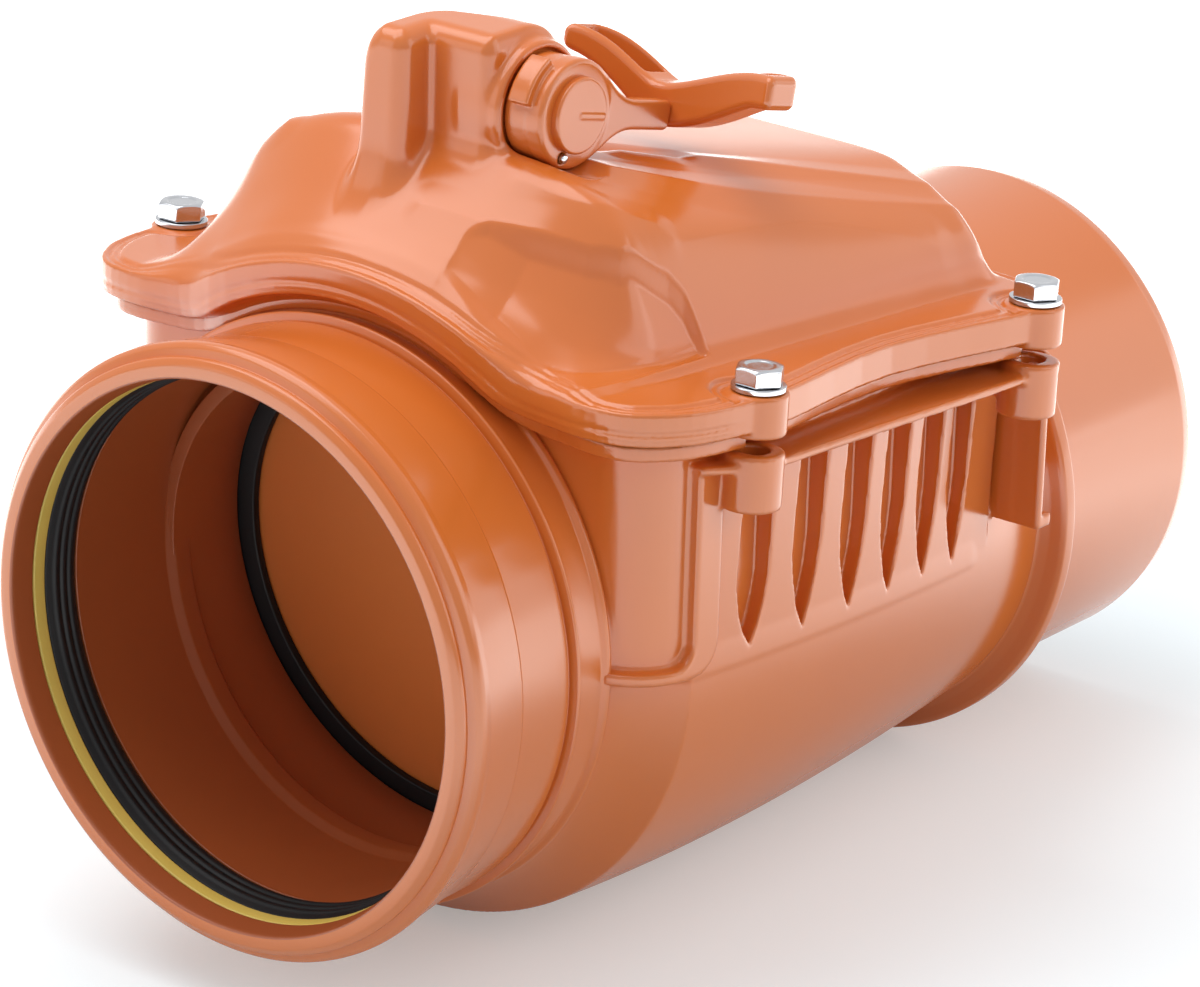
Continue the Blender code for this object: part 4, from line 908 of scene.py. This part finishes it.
def makePin():
    place = Matrix.Translation((0, pin["y"], pin["z"]))
    place = place @ Matrix.Rotation(math.radians(-90), 4, "Z")
    profile = [(0.01, 34.5), (1.35, 34.5), (1.35, 38.6), (0.01, 39.0)]
    turned("pinShell", profile, 0.4, zincSteel, "lock", ["lever_pin"], place,
           steps=32, smooth=40)


def makeCap():
    v = cap
    g = makeGrid(v["low"], v["high"], v["step"])
    x = g["x"]
    a, b = alongLever(g)
    around = np.hypot(a, b)
    disc = both(0.7, around - v["radius"] + 0 * x, between(x, v["start"], v["face"]))
    ridge = both(0.3, around - v["ridge"] + 0 * x, np.abs(b) - v["ridgeHalf"] + 0 * x,
                 v["ridgeStart"] - a + 0 * x, between(x, 38, v["ridgeFace"]))
    solidObject("capShell", g, blendIn(disc, ridge, 1.0), orangePvc, "lock", ["hub_cap"])


def makeHandle():
    v = handle
    g = makeGrid(v["gridLow"], v["gridHigh"], lever["step"])
    x = g["x"]
    a, b = alongLever(g)
    reach = np.where(x < v["low"], v["low"] - v["left"], v["right"] - v["low"])
    share = (x - v["low"]) / reach
    out = np.abs(share)
    # The wings sweep back to the hub and rise, then level out.
    a = a - lever["length"] - v["gap"] - v["chord"] / 2 + v["sweep"] * out**1.6
    level = np.clip((out - 0.05) / 0.9, 0, 1)
    rise = v["rise"] + v["rightRise"] * (share > 0)
    topEdge = v["lift"] + rise * np.sin(level * math.pi / 2) ** 1.3 + v["thick"]
    deep, bulge, thin = v["rightDeep"]
    rightDeep = deep + bulge * np.sin(np.clip(out * 1.25, 0, 1) * math.pi) - thin * out
    deep, thin = v["leftDeep"]
    deep = np.where(share > 0, rightDeep, deep - thin * out)
    halfChord = v["chord"] / 2 * (1 - v["narrow"] * out**2)
    across = (np.abs(b - topEdge + deep / 2) - deep / 2) * leanFactor["height"]
    tip = both(2.6, across, (out - 1) * reach + 0 * a)
    body = both(2.2, (np.abs(a) - halfChord) * leanFactor["chord"], tip)
    trough = both(1.2, (np.abs(a) - halfChord + v["rim"]) * leanFactor["chord"],
                  topEdge - deep + v["rim"] - b,
                  (np.abs(out - v["troughMiddle"]) - v["troughHalf"]) * reach)
    body = carve(body, trough, 0.8)
    solidObject("handleShell", g, body, orangePvc, "lock", ["lock_handle"])


makeLever()
makePin()
makeCap()
makeHandle()
print("lever and handle")

# M8 bolts with their washers. All are set over the flange by seat.
bolt = {
    "step": 0.3, "flats": 13.0, "height": 5.3, "seat": 1.0, "chamfer": 6.3, "dish": 4.2,
    "dishDeep": 0.35, "shank": 3.8, "shankLength": 8.0,
}
washer = {"outer": 8.0, "hole": 4.2, "thick": 1.6, "seat": 0.8}


def makeBolt(number, bx, bs):
    v = bolt
    centre = (bx, flange["y"] + bs * math.cos(flange["slope"]),
              flange["z"] - bs * math.sin(flange["slope"]))
    g = makeGrid([c - 10 for c in centre], [c + 10 for c in centre], v["step"])
    along, above = onSlope(g)
    dx, dy = g["x"] - bx, along - bs
    away = np.hypot(dx, dy)
    low = v["seat"] + washer["thick"]
    top = low + v["height"]
    c, s = 0.8660, 0.5  # of 60 degrees
    hexagon = np.maximum(np.abs(dy + 0 * dx), np.abs(dy * s + dx * c)) - v["flats"] / 2
    hexagon = np.maximum(hexagon, np.abs(dy * s - dx * c) - v["flats"] / 2)
    head = both(0.35, hexagon, between(above, low, top))
    head = both(0.3, head, (away - v["chamfer"]) * s + (above - top) * c)
    dish = both(0.4, away - v["dish"], top - v["dishDeep"] - above)
    head = carve(head, dish, 0.5)
    shank = np.maximum(away - v["shank"], between(above, -v["shankLength"], low + 1))
    solidObject(f"boltShell{number}", g, np.minimum(head, shank), zincSteel, "valve",
                [f"cover_bolt_{number}"], relax=1)


def makeWasher(number, bx, bs):
    w = washer
    place = Matrix.Translation((0, flange["y"], flange["z"]))
    place = place @ Matrix.Rotation(-flange["slope"], 4, "X") @ Matrix.Translation((bx, bs, 0))
    place = place @ Matrix.Rotation(math.radians(90), 4, "X")
    top = w["seat"] + w["thick"]
    profile = [(w["hole"], w["seat"]), (w["outer"], w["seat"]), (w["outer"], top), (w["hole"], top)]
    turned(f"washerShell{number}", profile, 0.35, zincSteel, "valve", [f"cover_washer_{number}"],
           place, steps=64, smooth=40)


for number, (bx, bs) in enumerate(boltSpots, 1):
    makeBolt(number, bx, bs)
    makeWasher(number, bx, bs)
print("fasteners")

# The nodes that no piece replaces keep their CAD shape.
finishOf = {
    "orange_plastic": orangePvc, "dark_orange_plastic": flapPvc, "black_rubber": rubber,
    "yellow_plastic": yellowPlastic, "zinc_steel": zincSteel,
}
for part in frame["record"]["subparts"]:
    node = frame["nodes"][part["node"]]
    node.data.materials.clear()
    node.data.materials.append(finishOf[part["material_slot"]])
print("carried nodes")

# White paper. Seen by the camera it glows further out, so that the object's shadow stays. In
# the plastic's gloss it glows far brighter further out: a painted reflection, made by the paper's
# own glow rather than by the lamps, that gives the plastic its pale sheen. Distances in metres.
paperLook = {
    "colour": "#DCE7EB", "glow": "#FFFBF7",
    "seen": {"From Min": 0.25, "From Max": 1.10, "To Min": 0.30, "To Max": 0.95},
    "mirrored": {"From Min": 0.17, "From Max": 0.44, "To Min": 0.1, "To Max": 2.6},
}
studio = {"colour": "#F2F4F8", "strength": 0.68, "background": "#FFFFFF"}
lamps = {
    "topSoftbox": {"at": (-0.35, -0.25, 1.25), "aim": (0, 0, 0.12), "size": (1.0, 1.0),
                   "power": 10.0},
    "rightSoftbox": {"at": (1.25, 0.45, 0.75), "aim": (0, 0, 0.10), "size": (0.9, 0.9),
                     "power": 4.0},
    "rearSoftbox": {"at": (0.70, 0.95, 0.34), "aim": (0, 0, 0.06), "size": (1.2, 0.6),
                    "power": 2.4},
    "frontSoftbox": {"at": (-0.80, -1.30, 0.62), "aim": (0, 0, 0.10), "size": (0.8, 0.8),
                     "power": 2.2},
}


def joined(tree, operation, first, second):
    node = addNode(tree, "ShaderNodeMath", [(0, first), (1, second)], operation=operation)
    return node.outputs[0]


def makeFloor():
    look = paperLook
    mesh = bpy.data.meshes.new("floor")
    mesh.from_pydata([(-6, -6, 0), (6, -6, 0), (6, 6, 0), (-6, 6, 0)], [], [(0, 1, 2, 3)])
    floor = bpy.data.objects.new("floor", mesh)
    bpy.context.scene.collection.objects.link(floor)
    paper = bpy.data.materials.new("whitePaperSweep")
    paper.use_nodes = True
    tree = paper.node_tree
    tree.nodes.clear()
    ray = addNode(tree, "ShaderNodeLightPath").outputs
    place = addNode(tree, "ShaderNodeTexCoord")
    away = addNode(tree, "ShaderNodeVectorMath", [(0, place.outputs["Object"])],
                   operation="LENGTH").outputs["Value"]
    mirrored, seen = [
        addNode(tree, "ShaderNodeMapRange", [("Value", away)], interpolation_type="SMOOTHSTEP",
                **look[way]).outputs["Result"] for way in ("mirrored", "seen")]
    mirrored = joined(tree, "MULTIPLY", ray["Is Glossy Ray"], mirrored)
    seen = joined(tree, "MULTIPLY", ray["Is Camera Ray"], seen)
    seen = joined(tree, "MAXIMUM", ray["Is Transmission Ray"], seen)
    power = joined(tree, "MAXIMUM", mirrored, seen)
    sheet = addNode(tree, "ShaderNodeBsdfDiffuse", Color=linear(look["colour"]))
    glow = addNode(tree, "ShaderNodeEmission", [("Strength", power)], Color=linear(look["glow"]))
    total = addNode(tree, "ShaderNodeAddShader", [(0, sheet.outputs[0]), (1, glow.outputs[0])])
    addNode(tree, "ShaderNodeOutputMaterial", [("Surface", total.outputs[0])])
    mesh.materials.append(paper)


def makeWorld():
    # White where it is seen, mirrored or seen through. Otherwise a soft grey room.
    world = bpy.data.worlds.new("studio")
    bpy.context.scene.world = world
    world.use_nodes = True
    tree = world.node_tree
    tree.nodes.clear()
    room = addNode(tree, "ShaderNodeBackground", Color=linear(studio["colour"]),
                   Strength=studio["strength"])
    white = addNode(tree, "ShaderNodeBackground", Color=linear(studio["background"]),
                    Strength=1.0)
    ray = addNode(tree, "ShaderNodeLightPath").outputs
    shown = joined(tree, "MAXIMUM", ray["Is Camera Ray"], ray["Is Glossy Ray"])
    shown = joined(tree, "MAXIMUM", shown, ray["Is Transmission Ray"])
    mix = addNode(tree, "ShaderNodeMixShader",
                  [(0, shown), (1, room.outputs[0]), (2, white.outputs[0])])
    addNode(tree, "ShaderNodeOutputWorld", [("Surface", mix.outputs[0])])


def makeLamps():
    for name, lamp in lamps.items():
        light = bpy.data.lights.new(name, "AREA")
        light.shape = "RECTANGLE"
        light.size, light.size_y = lamp["size"]
        light.energy = lamp["power"]
        holder = bpy.data.objects.new(name, light)
        holder.location = lamp["at"]
        aim = Vector(lamp["aim"]) - Vector(lamp["at"])
        holder.rotation_euler = aim.to_track_quat("-Z", "Y").to_euler()
        bpy.context.scene.collection.objects.link(holder)


makeFloor()
makeWorld()
makeLamps()
print("studio")

# Camera placed as the photograph's: angles in radians, distances in millimetres, focal length
# in pixels of a photograph this wide.
view = {
    "azimuth": 0.6627, "elevation": 0.3579, "roll": 0.0302, "distance": 1693.0,
    "across": 107.486, "up": 47.545, "focal": 5965.0, "photoWidth": 1200.0, "sensor": 36.0,
}


def makeCamera():
    v = view
    az, el, roll = v["azimuth"], v["elevation"], v["roll"]
    back = Vector((math.sin(az) * math.cos(el), -math.cos(az) * math.cos(el), math.sin(el)))
    level = Vector((math.cos(az), math.sin(az), 0))
    rise = back.cross(level)
    right = math.cos(roll) * level + math.sin(roll) * rise
    up = -math.sin(roll) * level + math.cos(roll) * rise
    lens = bpy.data.cameras.new("camera")
    lens.sensor_fit = "HORIZONTAL"
    lens.sensor_width = v["sensor"]
    lens.lens = v["focal"] / v["photoWidth"] * v["sensor"]
    lens.clip_end = 50
    camera = bpy.data.objects.new("camera", lens)
    pose = Matrix((right, up, back)).transposed().to_4x4()
    pose.translation = Vector(toPart(back * v["distance"] + right * v["across"] + up * v["up"]))
    camera.matrix_world = pose
    bpy.context.scene.collection.objects.link(camera)
    bpy.context.scene.camera = camera


makeCamera()
bpy.context.scene.view_settings.view_transform = "Standard"
print("camera")

bpy.context.view_layer.update()
